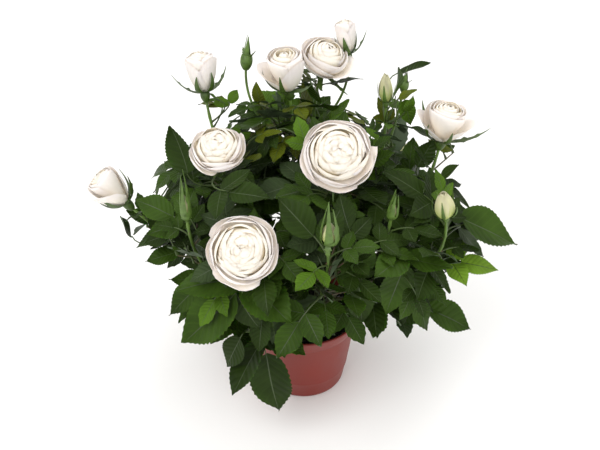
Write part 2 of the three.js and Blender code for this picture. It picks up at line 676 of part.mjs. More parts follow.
for (const leaf of SHOWN_LEAVES) {
  const shoot = shoots.find(({ name }) => name === leaf.shoot);
  const joint = at(leaf.joint);
  const shares = Array.from({ length: 19 }, (_, i) => (i + 1) / 20);
  const nearest = shares.reduce((best, share) =>
    shoot.stem.getPoint(share).distanceTo(joint) < shoot.stem.getPoint(best).distanceTo(joint) ? share : best,
  );
  const foot = shoot.stem.getPoint(Math.max(0.05, nearest - SHOWN_FOOT_BACK));
  const { plates, ...rest } = leafPlan(foot, joint, at(leaf.tip), leaf.pairs, at(leaf.lean));
  const fitting = plates.filter((plate) => plateIsClear(plate, SHOWN_CLEARANCE));
  if (fitting[0] === plates[0]) keepLeaf({ plates: fitting, ...rest }, shoot.name, shoot.pieces);
}

for (const { name, spec, stem, pieces } of shoots) {
  const draws = new Draws(spec.seed);
  for (let twig = 0; twig < spec.twigs; twig += 1) {
    const share = FIRST_TWIG + (TWIG_STRETCH * (twig + 0.5)) / spec.twigs;
    growTwig(name, spec, stem, share, twig * GOLDEN_ANGLE + draws.between(0, 1), draws, pieces);
  }
  for (const share of STEM_LEAVES) growLeaf(name, spec, stem, share, draws.between(0, 6), draws, pieces);
}

// The object

const looks = {
  pot: new THREE.MeshStandardMaterial({ color: 0x8a4038, roughness: 0.45, metalness: 0 }),
  soil: new THREE.MeshStandardMaterial({ color: 0x17110d, roughness: 1, metalness: 0 }),
  cane: new THREE.MeshStandardMaterial({ color: 0x4c5a2a, roughness: 0.6, metalness: 0 }),
  foliage: new THREE.MeshStandardMaterial({ color: 0x27491f, roughness: 0.5, metalness: 0 }),
};
const plant = new THREE.Group();

function addPiece(name, solid, look) {
  const { vertProperties, triVerts } = solid.getMesh();
  const geometry = new THREE.BufferGeometry();
  geometry.setAttribute("position", new THREE.BufferAttribute(vertProperties, 3));
  geometry.setIndex(new THREE.BufferAttribute(triVerts, 1));
  geometry.computeVertexNormals();
  const mesh = new THREE.Mesh(geometry, looks[look]);
  mesh.name = name;
  plant.add(mesh);
}

// The largest body of a solid, without the slivers that a join or a cut leaves on it
const largest = (solid) =>
  solid.decompose().reduce((best, body) => (body.volume() > best.volume() ? body : best)).simplify(SLIVER);

function latheSolid(profile, sides) {
  const points = profile.map(([radius, height]) => new THREE.Vector2(radius, height));
  return solidOf(new THREE.LatheGeometry(points, sides).rotateX(90 * DEGREES));
}

// How far the pot's inside is from its axis at a height
function potInsideAt(height) {
  const bodyTop = POT_HEIGHT - COLLAR_HEIGHT;
  const share = Math.min(1, height / bodyTop);
  const outside = BASE_RADIUS + (BODY_TOP_RADIUS - BASE_RADIUS) * share;
  const flare = ((RIM_RADIUS - BODY_TOP_RADIUS) * Math.max(0, height - bodyTop)) / COLLAR_HEIGHT;
  return outside + flare - POT_WALL;
}

function potSolid() {
  const bodyTop = POT_HEIGHT - COLLAR_HEIGHT;
  const rounding = [0, 45, 90].map((angle) => [
    BASE_RADIUS - BASE_ROUNDING * (1 - Math.sin(angle * DEGREES)),
    BASE_ROUNDING * (1 - Math.cos(angle * DEGREES)),
  ]);
  return latheSolid(
    [
      [0, 0],
      ...rounding,
      [BODY_TOP_RADIUS, bodyTop - 1],
      [COLLAR_FOOT_RADIUS, bodyTop],
      [RIM_RADIUS, POT_HEIGHT - 1],
      [RIM_RADIUS - 0.6, POT_HEIGHT],
      [potInsideAt(POT_HEIGHT), POT_HEIGHT],
      [potInsideAt(bodyTop), bodyTop],
      [potInsideAt(POT_FLOOR), POT_FLOOR],
      [0, POT_FLOOR],
    ],
    POT_SIDES,
  );
}

function soilSolid() {
  const bodyTop = POT_HEIGHT - COLLAR_HEIGHT;
  const bottom = POT_FLOOR + CLEARANCE;
  const edges = [bottom, bodyTop, SOIL_TOP].map((height) => [potInsideAt(height) - CLEARANCE, height]);
  return latheSolid([[0, bottom], ...edges, [0, SOIL_TOP]], POT_SIDES);
}

addPiece("pot", potSolid(), "pot");
addPiece("soil", soilSolid(), "soil");

// A cane's radius: it tapers, and flares over the first eighth above the soil
const flared = (share) =>
  taper(CANE_FOOT_RADIUS, CANE_TIP_RADIUS)(share) + ROOT_FLARE * Math.max(0, 1 - share * 8);

for (const [cane, curve] of Object.entries(canes)) {
  addPiece(`cane_${cane}`, limbSolid(curve, flared, CANE_SIDES, CANE_STEPS), "cane");
  // A bough is cut clear of its cane and of the boughs beside it
  let taken = limbSolid(curve, (share) => flared(share) + CLEARANCE, CANE_SIDES, CANE_STEPS);
  for (const { name, bough, spec } of shoots.filter((shoot) => shoot.spec.cane === cane)) {
    const solid = limbSolid(bough, taper(BOUGH_FOOT_RADIUS, BOUGH_TIP_RADIUS), BOUGH_SIDES, 3);
    const grownBough = spec.up === 1 ? clearOfTip(solid, curve) : largest(solid.subtract(taken));
    addPiece(`bough_${name}`, grownBough, "cane");
    taken = taken.add(
      limbSolid(bough, taper(BOUGH_FOOT_RADIUS + CLEARANCE, BOUGH_TIP_RADIUS + CLEARANCE), BOUGH_SIDES, 3),
    );
  }
}

// A bough that goes on from its cane's tip, without the part that the cane and its clearance take
function clearOfTip(solid, curve) {
  const tip = stretch(curve, 0.9, 1);
  tip.v2.addScaledVector(curve.getTangent(1), CLEARANCE);
  return largest(solid.subtract(limbSolid(tip, () => CANE_TIP_RADIUS + 1, CANE_SIDES, 2)));
}

for (const { name, pieces } of shoots) {
  addPiece(`foliage_${name}`, largest(wasm.Manifold.union(pieces)), "foliage");
}

export default plant;
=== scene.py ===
"""A miniature rose in white flower, in its round plastic pot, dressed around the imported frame.

Places and sizes are in millimetres while a piece is worked out, and become metres in its mesh.
The origin is the centre of the pot's flat underside, and -Y is the front.
"""

import functools
import math
import typing

import bmesh
import bpy
import numpy as np
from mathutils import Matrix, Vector


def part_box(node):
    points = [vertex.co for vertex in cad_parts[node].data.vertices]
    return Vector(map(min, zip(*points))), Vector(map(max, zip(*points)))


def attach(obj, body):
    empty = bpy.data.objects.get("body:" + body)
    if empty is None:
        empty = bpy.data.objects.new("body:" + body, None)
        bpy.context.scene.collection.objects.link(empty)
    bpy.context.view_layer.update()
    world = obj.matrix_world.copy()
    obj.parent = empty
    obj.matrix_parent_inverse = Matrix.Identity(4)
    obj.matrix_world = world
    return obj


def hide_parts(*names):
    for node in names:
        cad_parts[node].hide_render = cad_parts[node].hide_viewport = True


bl_info = {
    "name": "Potted White Rose",
    "version": (1, 0, 0),
    "blender": (4, 5, 0),
    "location": "3D View > Sidebar > Potted Rose",
    "description": "Grows a miniature rose in its pot: canes, leaves, flowers, peat and pot",
    "category": "Add Mesh",
}

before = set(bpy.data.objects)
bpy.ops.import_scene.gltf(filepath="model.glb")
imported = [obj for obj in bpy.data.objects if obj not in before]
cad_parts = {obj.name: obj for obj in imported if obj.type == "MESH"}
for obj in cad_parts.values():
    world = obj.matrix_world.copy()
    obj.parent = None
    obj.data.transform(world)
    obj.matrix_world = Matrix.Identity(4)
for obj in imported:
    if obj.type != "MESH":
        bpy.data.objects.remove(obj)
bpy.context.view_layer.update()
MM = 0.001


def linear_colour(code):
    """The linear red, green and blue of an sRGB hex colour, with full alpha."""
    shares = [int(code[i : i + 2], 16) / 255 for i in (1, 3, 5)]
    return tuple(s / 12.92 if s <= 0.04045 else ((s + 0.055) / 1.055) ** 2.4 for s in shares) + (1.0,)


def colour_property(name, description, code):
    """A colour that the sidebar shows, given by its sRGB hex value."""
    settings = {"subtype": "COLOR", "size": 4, "min": 0, "max": 1}
    return bpy.props.FloatVectorProperty(
        name=name, description=description, default=linear_colour(code), **settings
    )


def length_property(name, description, millimetres):
    """A length that the sidebar shows, given in millimetres and kept in metres."""
    settings = {"subtype": "DISTANCE", "unit": "LENGTH", "min": 0}
    return bpy.props.FloatProperty(name=name, description=description, default=millimetres * MM, **settings)


class RoseSizes(bpy.types.PropertyGroup):
    """The sizes that a grower or a potter would change."""

    leaf_thickness: length_property("Leaf thickness", "How thick a leaflet is at its middle", 0.5)
    petal_thickness: length_property("Petal thickness", "How thick a petal is at its middle", 0.4)
    vein_relief: length_property("Vein relief", "How far a leaflet swells between its veins", 0.25)
    bark_relief: length_property("Bark relief", "How deep the furrows of the canes are", 0.22)
    stalk_radius: length_property("Stalk radius", "Half the thickness of a leaf's stalk", 0.5)
    prickle_length: length_property("Prickle length", "How far a prickle stands out", 2.2)
    crumb_size: length_property("Crumb size", "How wide a crumb of peat is", 2.6)
    pot_step: length_property("Pot step", "How far the foot of the pot is set in", 0.45)


class RoseColours(bpy.types.PropertyGroup):
    """The colours of the plant and its pot."""

    leaf_dark: colour_property("Dark leaf", "Upper side of an old leaf", "#23320e")
    leaf_middle: colour_property("Middle leaf", "Upper side of a full leaf", "#2e4212")
    # The grey leaf's colour is painted sheen: a greyer green that stands for white light reflected off a
    # glossy leaf, not a bloom on it.
    leaf_grey: colour_property("Grey leaf", "Upper side of a leaf with a dull bloom", "#2f3c22")
    leaf_young: colour_property("Young leaf", "Upper side of a new leaf", "#425d16")
    leaf_bright: colour_property("Bright leaf", "Upper side of the newest leaves", "#6c8d2b")
    leaf_olive: colour_property("Olive leaf", "Upper side of a new leaf with a brown tinge", "#485110")
    leaf_under: colour_property("Leaf underside", "The paler underside", "#3f5032")
    leaf_rib: colour_property("Midrib", "The midrib of a leaflet", "#2d3d15")
    stem_green: colour_property("Green stem", "Stems under the flowers, and leaf stalks", "#5b7631")
    twig: colour_property("Twig", "Boughs and side twigs", "#445229")
    stem_red: colour_property("Red stem", "The flush on boughs, twigs and prickles", "#573a28")
    bark: colour_property("Bark", "The oldest part of the canes", "#463e26")
    petal_white: colour_property("White petal", "Outer petals", "#f1e8e2")
    # The warm inner petals and the cream at the petals' foot are partly the flower's own tint and partly
    # painted warm shade deep in the flower.
    petal_warm: colour_property("Warm petal", "Inner petals", "#f5ebdb")
    petal_heart: colour_property("Petal foot", "The cream at the foot of the inner petals", "#f1e2b6")
    petal_young: colour_property("Young petal", "Petals of a bud that is still shut", "#c7c299")
    petal_green: colour_property("Young petal's foot", "The green at the foot of such petals", "#a4b064")
    calyx: colour_property("Calyx", "Sepals and the urn under a flower", "#41581f")
    young_calyx: colour_property("Young calyx", "Sepals of a green bud", "#4e6827")
    pot_plastic: colour_property("Pot", "Terracotta coloured plastic", "#79251a")
    peat: colour_property("Peat", "Damp peat", "#120d09")
    floor: colour_property("Floor", "The pale floor", "#fbfaf8")


def sizes():
    """The sizes that the sidebar shows."""
    return bpy.context.scene.rose_sizes


def colours():
    """The colours that the sidebar shows."""
    return bpy.context.scene.rose_colours


# Plain vectors

UP = np.array([0.0, 0.0, 1.0])
EAST = np.array([1.0, 0.0, 0.0])
GOLDEN_ANGLE = math.radians(137.5)
TANGENT_STEP = 1e-4
UPRIGHT = 0.95  # a direction this far up has its sides told from the x axis


def lengths(vectors):
    """How long each vector is."""
    return np.linalg.norm(vectors, axis=-1)


def unit(vector):
    """The vector, or each of several, made one long."""
    return vector / np.linalg.norm(vector, axis=-1, keepdims=True)


def dot(a, b):
    """The scalar product of vectors, or of each pair of them."""
    return (a * b).sum(-1)


def square_to(direction, axis):
    """The part of a direction that is square to another, as a unit."""
    return unit(direction - axis * dot(direction, axis)[..., None])


def side_of(axis, upright=UPRIGHT):
    """A direction square to an axis, told from the x axis where that one stands as upright as given."""
    return square_to(EAST if abs(axis[2]) > upright else UP, axis)


def turned(vector, axis, angle):
    """A vector turned about a unit axis."""
    cosine, sine = math.cos(angle), math.sin(angle)
    return vector * cosine + np.cross(axis, vector) * sine + axis * dot(axis, vector) * (1 - cosine)


def place(*values):
    """A place or a direction, from its three numbers."""
    return np.array(values, float)


class Arc:
    """The quadratic curve that limbs, stems and stalks follow."""

    def __init__(self, start, control, end):
        self.start, self.control, self.end = start, control, end

    def point(self, share):
        """Where the curve is at a share of it, or at each of several."""
        t = np.asarray(share, float)[..., None]
        return (1 - t) ** 2 * self.start + 2 * t * (1 - t) * self.control + t**2 * self.end

    def tangent(self, share):
        """Which way the curve runs there."""
        share = np.asarray(share, float)
        ahead = self.point(np.minimum(share + TANGENT_STEP, 1))
        return unit(ahead - self.point(np.maximum(share - TANGENT_STEP, 0)))

    def length(self):
        points = self.point(np.linspace(0, 1, 41))
        return lengths(np.diff(points, axis=0)).sum()

    def stretch(self, share_from, share_to):
        """The stretch of the curve between two shares of it."""
        first, second = self.control - self.start, self.end - self.control
        slope = first + (second - first) * share_from
        start = self.point(share_from)
        return Arc(start, start + slope * (share_to - share_from), self.point(share_to))


def arc(start, end, arrives, straight=0.5):
    """An even arc from start to end that arrives in the direction `arrives`."""
    return Arc(start, end - arrives * straight * np.linalg.norm(end - start), end)


DRAW_FACTOR, DRAW_STEP, DRAW_RANGE = 1664525, 1013904223, 2**32


class Draws:
    """Seeded draws, the same on every run."""

    def __init__(self, seed):
        self.state = seed

    def next(self):
        self.state = (self.state * DRAW_FACTOR + DRAW_STEP) % DRAW_RANGE
        return self.state / DRAW_RANGE

    def between(self, low, high):
        return low + (high - low) * self.next()


# The plant's rule of growth, as the frame's solids follow it

CLEARANCE = 0.3
SOIL_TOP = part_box("soil")[1].z / MM
CANE_FOOT_RADIUS = 3.4
CANE_TIP_RADIUS = 2.3
CANE_STRAIGHT = 16
ROOT_FLARE = 1.5
CANES = {
    "front": ((-3, -16), (1, -32, 118)),
    "left": ((-18, -2), (-38, -9, 118)),
    "right": ((17, -3), (38, -8, 118)),
    "back_left": ((-10, 14), (-22, 33, 122)),
    "back_right": ((11, 14), (24, 31, 122)),
}
BOUGH_FOOT_RADIUS = 1.9
BOUGH_TIP_RADIUS = 1.4
STEM_TIP_RADIUS = 1.15
TWIG_FOOT_RADIUS = 0.9
STALK_RADIUS = 0.8
SEAT_DEPTH = 0.46  # how far inside a flower its stem ends, of the flower's height
OPEN_SEAT_DEPTH = 0.54  # and inside a wide open one
FLOWER_STALK = 0.55  # straight run of the stem under a flower, of the stem's length
TIP_RISE = 0.25  # how far a shoot without a flower turns up at its tip
TWIG_LENGTHS = (24, 40)
TWIG_AHEAD = 0.6  # how far a side twig leans along its stem
TWIG_MARGIN = 15  # kept between a twig's end and the edge of its shoot's space
FIRST_TWIG = 0.06  # where side twigs begin on a stem, as a share of it
TWIG_STRETCH = 0.6  # and the share that they are spread over
LEAFLET_WIDTH = 0.64
LEAFLET_WIDEST = 0.42
LATERAL_SIZES = (0.84, 0.66)
LATERAL_START = 0.26
LATERAL_SPACING = 0.45
LATERAL_ANGLE = math.radians(64)
FIRST_JOIN = 0.2  # the least share of the stalk under the innermost pair
STEM_LEAVES = (0.06, 0.24, 0.42)
TWIG_LEAVES = (0.99, 0.6, 0.25)
ONE_PAIR = 0.9  # share of leaves with three leaflets, where the rest have five
LEAF_SIZES = (0.9, 1.12)  # of the shoot's usual leaflet
STALK_LENGTH = 0.9  # of the end leaflet
STALK_STRAIGHT = 0.45  # straight run of a stalk under its end leaflet
LEAF_AHEAD = 0.55  # how far a leaf leans along its twig
END_LEAF_AHEAD = 1.6  # and at the twig's end
TWIG_END = 0.98  # from this share of a twig on, a leaf counts as its end leaf
LEAN_ASIDE = 0.3  # how far chance turns a leaf's face aside, either way
LEAN_UP = (-0.1, 0.2)  # and up
LEAF_LIFT = 0.8
LEAF_OUTWARD = 0.65
LEAF_DROOP = 0.42
LEAF_CLEARANCE = 1.5
SHOWN_CLEARANCE = 0.6
SHOWN_TO = place(0, -0.78, 0.63)  # where the leaves with a place turn their upper sides
SHOWN_FOOT_BACK = 0.15  # how far down the stem a leaf with a place starts, of the stem's length
TRIES = 16
TRY_SHRINK = 0.02
LOWEST_LEAF = 14
CROWN_CENTRE = place(3, 4, 180)
CROWN_RADII = place(156, 148, 112)
OUTLINE_STOPS = (0, 0.2, 0.42, 0.75, 1)


def flower(kind, at, facing, width, height=None, flares=(), first_sepal=-100):
    """flares holds the directions, in degrees round from the east, in which an outer petal falls open."""
    return {
        "kind": kind,
        "at": place(*at),
        "facing": unit(place(*facing)),
        "width": width,
        "height": height or width / 2,
        "flares": flares,
        "first_sepal": first_sepal,
    }


FLOWERS = {
    "bloom_top": flower("open", (26, -45, 283), (0.02, -0.62, 0.78), 60),
    "bloom_front": flower("open", (-48, -110, 238), (-0.05, -0.7, 0.72), 57),
    "bloom_left": flower("open", (-70, -25, 275), (-0.1, -0.3, 0.95), 46),
    "bloom_rear": flower("open", (30, 140, 170), (0.1, 0.8, 0.6), 54),
    "cup_left": flower("goblet", (-15, 46, 299), (-0.12, 0, 0.99), 36, 36, (190,)),
    "cup_right": flower("half", (18, 82, 289), (0.2, -0.2, 0.95), 44, 29, (-20,)),
    "cup_far_right": flower("goblet", (117, 25, 262), (0.15, 0.1, 0.98), 40, 32, (185, -15), -82),
    "cup_rear_left": flower("half", (-66, 122, 166), (-0.35, 0.7, 0.62), 40, 31, (100,)),
    "bud_left_tall": flower("goblet", (-86, 60, 289), (-0.14, 0.3, 0.95), 29, 34, (), -41),
    "bud_top": flower("goblet", (36, 102, 298), (-0.14, 0.3, 0.95), 20, 29),
    "bud_far_left": flower("goblet", (-160, -10, 220), (-0.66, 0.1, 0.74), 30, 34, (240,)),
    "bud_back_right": flower("bud", (68, 50, 280), (-0.05, 0.2, 0.98), 13, 26),
    "bud_right": flower("bud", (110, -65, 247), (-0.15, -0.1, 0.98), 18, 26),
    "bud_rear_right": flower("bud", (96, 116, 164), (0.5, 0.6, 0.62), 20, 28),
    "green_tall": flower("shut", (-48, 70, 300), (0.08, 0.2, 0.97), 12, 24),
    "green_front": flower("green", (19, -105, 254), (0, -0.1, 0.99), 15, 27, (260,)),
    "green_slim": flower("green", (-94, -65, 248), (-0.05, 0, 1), 9, 30),
    "green_right": flower("green", (70, -66, 244), (0.1, -0.1, 0.99), 9, 19),
    "green_small": flower("shut", (85, 65, 276), (0.15, 0.2, 0.96), 9, 16),
}


def shoot(cane, up, bough, ends, middle, radius, twigs, leaflet, seed, also=None):
    """A shoot ends in a flower, by its name, or at a place. `also` says where further flowers branch."""
    return {
        "cane": cane,
        "up": up,
        "bough": bough,
        "ends": ends,
        "middle": place(*middle),
        "radius": radius,
        "twigs": twigs,
        "leaflet": leaflet,
        "seed": seed,
        "also": also or {},
    }


SMALL_BUD = {"green_small": 0.35}
TALL_BUD = {"green_tall": 0.3}
TOP_BUD = {"bud_top": 0.3}
SHOOTS = {
    "front_left": shoot("front", 1, 0.42, "bloom_front", (-50, -84, 182), 86, 2, 46, 11),
    "low_front": shoot("front", 0.55, 0.4, (-54, -72, 116), (-46, -76, 108), 76, 2, 43, 12),
    "front": shoot("front", 0.85, 0.4, "green_front", (14, -84, 178), 84, 3, 43, 13),
    "top": shoot("front", 0.7, 0.45, "bloom_top", (18, -36, 222), 80, 2, 41, 14),
    "left_front": shoot("left", 0.8, 0.38, "green_slim", (-96, -52, 190), 80, 2, 39, 21),
    "left": shoot("left", 1, 0.38, "bud_far_left", (-108, 2, 180), 84, 3, 41, 22),
    "low_left": shoot("left", 0.55, 0.42, (-106, -46, 138), (-98, -40, 140), 76, 2, 39, 23),
    "left_high": shoot("left", 0.9, 0.42, "bloom_left", (-70, -12, 220), 80, 2, 43, 24),
    "front_right": shoot("right", 0.8, 0.4, "green_right", (64, -74, 162), 84, 3, 45, 31),
    "right": shoot("right", 1, 0.38, "bud_right", (106, -34, 190), 86, 3, 45, 32),
    "low_right": shoot("right", 0.55, 0.42, (98, -40, 138), (92, -34, 136), 76, 2, 43, 33),
    "right_high": shoot("right", 0.9, 0.4, "cup_far_right", (104, 32, 206), 80, 2, 39, 34),
    "left_back_high": shoot("back_left", 0.82, 0.4, "bud_left_tall", (-80, 48, 220), 78, 2, 37, 41),
    "back_left_high": shoot("back_left", 1, 0.45, "cup_left", (-28, 46, 234), 78, 2, 36, 42, TALL_BUD),
    "rear_left": shoot("back_left", 0.7, 0.42, "cup_rear_left", (-82, 92, 172), 86, 3, 43, 43),
    "low_rear": shoot("back_left", 0.53, 0.42, (-18, 104, 128), (-14, 96, 126), 78, 2, 43, 44),
    "back_high": shoot("back_right", 1, 0.45, "cup_right", (28, 70, 232), 78, 2, 37, 51, TOP_BUD),
    "back_right_high": shoot(
        "back_right", 0.85, 0.42, "bud_back_right", (72, 48, 226), 76, 2, 37, 52, SMALL_BUD
    ),
    "rear_right": shoot("back_right", 0.7, 0.42, "bud_rear_right", (86, 84, 172), 86, 3, 43, 53),
    "rear": shoot("back_right", 0.55, 0.42, "bloom_rear", (10, 108, 178), 82, 2, 43, 54),
}

# The leaves that make the crown's outline and face: the shoot, where the end leaflet starts, where its tip
# is, its pairs of lateral leaflets, its tint, and what more turns its face than sky and crown
SHOWN_LEAVES = (
    ("right", (127, -45, 219), (178, -42, 189), 0, "middle"),
    ("low_front", (-32, -86, 104), (-22, -94, 43), 1, "dark"),
    ("front_left", (-56, -100, 184), (-101, -102, 132), 2, "middle"),
    ("front", (-12, -88, 167), (26, -94, 132), 1, "grey"),
    ("front_left", (-54, -97, 180), (-36, -104, 148), 0, "dark"),
    ("low_front", (-20, -88, 152), (-27, -98, 126), 0, "grey"),
    ("front_right", (80, -88, 203), (66, -96, 158), 2, "middle"),
    ("front_right", (43, -92, 193), (47, -98, 151), 1, "dark"),
    ("front_right", (45, -92, 198), (47, -90, 232), 0, "middle"),
    ("right", (90, -62, 184), (131, -66, 170), 1, "middle"),
    ("low_right", (104, -50, 124), (145, -52, 102), 1, "middle"),
    ("low_right", (130, -42, 168), (163, -44, 162), 1, "bright"),
    ("low_left", (-86, -72, 170), (-113, -82, 145), 1, "middle"),
    ("low_left", (-80, -70, 150), (-98, -82, 126), 1, "young"),
    ("left_front", (-103, -47, 184), (-132, -49, 175), 0, "middle"),
    ("left_front", (-106, -45, 219), (-138, -32, 227), 1, "middle"),
    ("left", (-110, -28, 192), (-141, -34, 178), 1, "middle"),
    ("left", (-107, 5, 230), (-127, -5, 213), 1, "middle"),
    ("left_high", (-96, -12, 237), (-110, 0, 276), 1, "dark"),
    ("left_high", (-59, -68, 262), (-27, -78, 265), 1, "dark"),
    ("front", (7, -92, 237), (-21, -75, 263), 1, "dark"),
    ("right_high", (106, -30, 213), (81, -34, 206), 0, "middle"),
    ("right_high", (121, -5, 217), (139, -10, 202), 1, "dark"),
    ("right_high", (96, 22, 219), (110, 30, 242), 1, "dark"),
    ("back_right_high", (80, 68, 284), (106, 72, 293), 0, "dark"),
    ("back_right_high", (84, 46, 271), (90, 38, 250), 0, "young", (-0.4, -2, 0.4)),
    ("left_back_high", (-66, 57, 262), (-84, 60, 262), 1, "young"),
    ("back_left_high", (-36, 58, 257), (-41, 62, 278), 1, "olive"),
    ("back_left_high", (-23, 25, 257), (2, 20, 262), 1, "middle"),
    ("top", (-28, 5, 262), (-38, -5, 246), 1, "dark"),
    ("back_high", (13, 55, 261), (4, 54, 284), 1, "middle"),
)

# Small leaves with a place, beyond those of the solids
SMALL_SHOWN_LEAVES = (
    ("back_high", (29, 80, 267), (51, 80, 271), 1, "dark"),
    ("back_right_high", (75, 30, 285), (78, 30, 313), 0, "middle", (-2, 0.6, 0)),
    ("back_right_high", (78, 38, 277), (93, 42, 285), 0, "olive"),
    ("back_right_high", (84, 40, 263), (91, 40, 279), 0, "young"),
    ("left_back_high", (-75, 68, 253), (-91, 68, 253), 1, "olive"),
    ("left_back_high", (-69, 50, 267), (-79, 50, 276), 0, "young"),
    ("right_high", (108, 36, 240), (90, 36, 252), 0, "middle"),
    ("right_high", (104, 12, 227), (91, 12, 249), 0, "dark"),
    ("right_high", (112, -16, 237), (125, -16, 250), 0, "dark"),
    ("left", (-130, -10, 185), (-149, -10, 198), 0, "middle"),
    ("left", (-148, 0, 161), (-155, 0, 184), 0, "dark"),
    ("low_front", (-53, -90, 126), (-66, -90, 92), 0, "dark"),
)

# Growth that only the scene carries on to: small leaves on the stems, and fine side twigs with leaves
FINE_STEM_LEAVES = (0.1, 0.2, 0.3, 0.4, 0.5, 0.6, 0.7, 0.8)
FINE_TWIG_SHARES = (0.08, 0.2, 0.32, 0.44, 0.56, 0.68)
FINE_TWIG_LEAVES = (0.99, 0.74, 0.5, 0.26)
FINE_ON_TWIGS = (0.8, 0.42)
FINE_LEAFLET = 0.72  # of the shoot's usual leaflet
TOP_LEAFLET = 0.56  # and at the crown's top
TOP_HEIGHTS = (200, 280)  # between which leaves get smaller
TOP_SKIPPED = 0.5  # share of the small leaves that are left out at the crown's top, where the sky shows
FINE_TWIG_RADIUS = 0.6
FINE_TWIG_LENGTHS = (18, 40)

# How full and small leaves grow: the room around them, how often a place is tried, how far chance turns
# their faces, and how much more they turn up
FULL = {"gap": LEAF_CLEARANCE, "tries": TRIES, "sway": 1.0, "lift": 0.0}
FINE = {"gap": 0.6, "tries": 22, "sway": 1.8, "lift": 0.7}

# The camera, fitted to the rim, the collar and the foot of the pot
CAMERA_LIFT = math.radians(39.0)
CAMERA_DISTANCE = 1200
CAMERA_LENS = 84.24
CAMERA_AIM = place(-3.5, 0, 173.5)
CAMERA_BACK = place(0, -math.cos(CAMERA_LIFT), math.sin(CAMERA_LIFT))
CAMERA_UP = place(0, math.sin(CAMERA_LIFT), math.cos(CAMERA_LIFT))

# Where the photo shows sky between and beside the fine growth: how far right of the camera's aim and above
# it, and how wide round there, in millimetres at the aim's distance
SKY = (
    (38, 109, 11), (36, 119, 9), (55, 109, 11), (92, 92, 6), (101, 73, 6),
    (111, 55, 8), (138, 51, 14), (146, 33, 13), (135, -57, 9), (68, -86, 11),
    (-74, 93, 11), (-97, 97, 9), (-97, 81, 9), (-128, 38, 14), (-107, -34, 9),
    (-115, -47, 17), (-135, -31, 11),
)
MOST_OVER_SKY = 0.4  # a full leaf isn't drawn with this share of its leaflets over the sky


def seen_at(points):
    """Where points show, right of the camera's aim and above it, in millimetres at the aim's distance."""
    away = points - CAMERA_AIM - CAMERA_BACK * CAMERA_DISTANCE
    share = CAMERA_DISTANCE / -dot(away, CAMERA_BACK)
    return np.stack([away[..., 0] * share, dot(away, CAMERA_UP) * share], -1)


def over_sky(plate):
    """True where a leaflet would cover sky that the photo shows."""
    seen = seen_at(np.vstack([plate["rim"], plate["middle"]]))
    places = np.array(SKY, float)
    return (lengths(seen[:, None] - places[:, :2]) < places[:, 2]).any()


def half_width_at(share, width):
    """Half the width of a leaflet at a share of its length: a pointed oval."""
    side = np.where(share < LEAFLET_WIDEST, share / LEAFLET_WIDEST, (1 - share) / (1 - LEAFLET_WIDEST))
    return width / 2 * np.sqrt(np.clip(side, 0, 1))


def plate_of(base, heading, face, length, width):
    """The flat space of one leaflet."""
    across = np.cross(face, heading)
    stops = np.array(OUTLINE_STOPS + OUTLINE_STOPS[-2:0:-1])
    sides = np.array([1] * len(OUTLINE_STOPS) + [-1] * (len(OUTLINE_STOPS) - 2))
    rim = base + stops[:, None] * length * heading + (sides * half_width_at(stops, width))[:, None] * across
    return {
        "base": base,
        "heading": heading,
        "face": face,
        "across": across,
        "length": np.array(float(length)),
        "width": np.array(float(width)),
        "rim": rim,
        "middle": base + heading * length / 2,
    }


def crosses(plates, start, end, gap):
    """True where a line passes through a leaflet, or an end of it comes within `gap`."""
    from_start, from_end = start - plates["base"], end - plates["base"]
    rise_start, rise_end = dot(from_start, plates["face"]), dot(from_end, plates["face"])
    same_side = rise_start * rise_end > 0
    far = same_side & (np.minimum(abs(rise_start), abs(rise_end)) > gap)
    fall = rise_start - rise_end
    share = np.where(same_side, abs(rise_start) > abs(rise_end), rise_start / np.where(fall == 0, 1, fall))
    meets = from_start + (from_end - from_start) * share[..., None]
    run = dot(meets, plates["heading"])
    within = (run >= -gap) & (run <= plates["length"] + gap)
    room = half_width_at(run / plates["length"], plates["width"]) + gap
    return ~far & within & (abs(dot(meets, plates["across"])) < room)


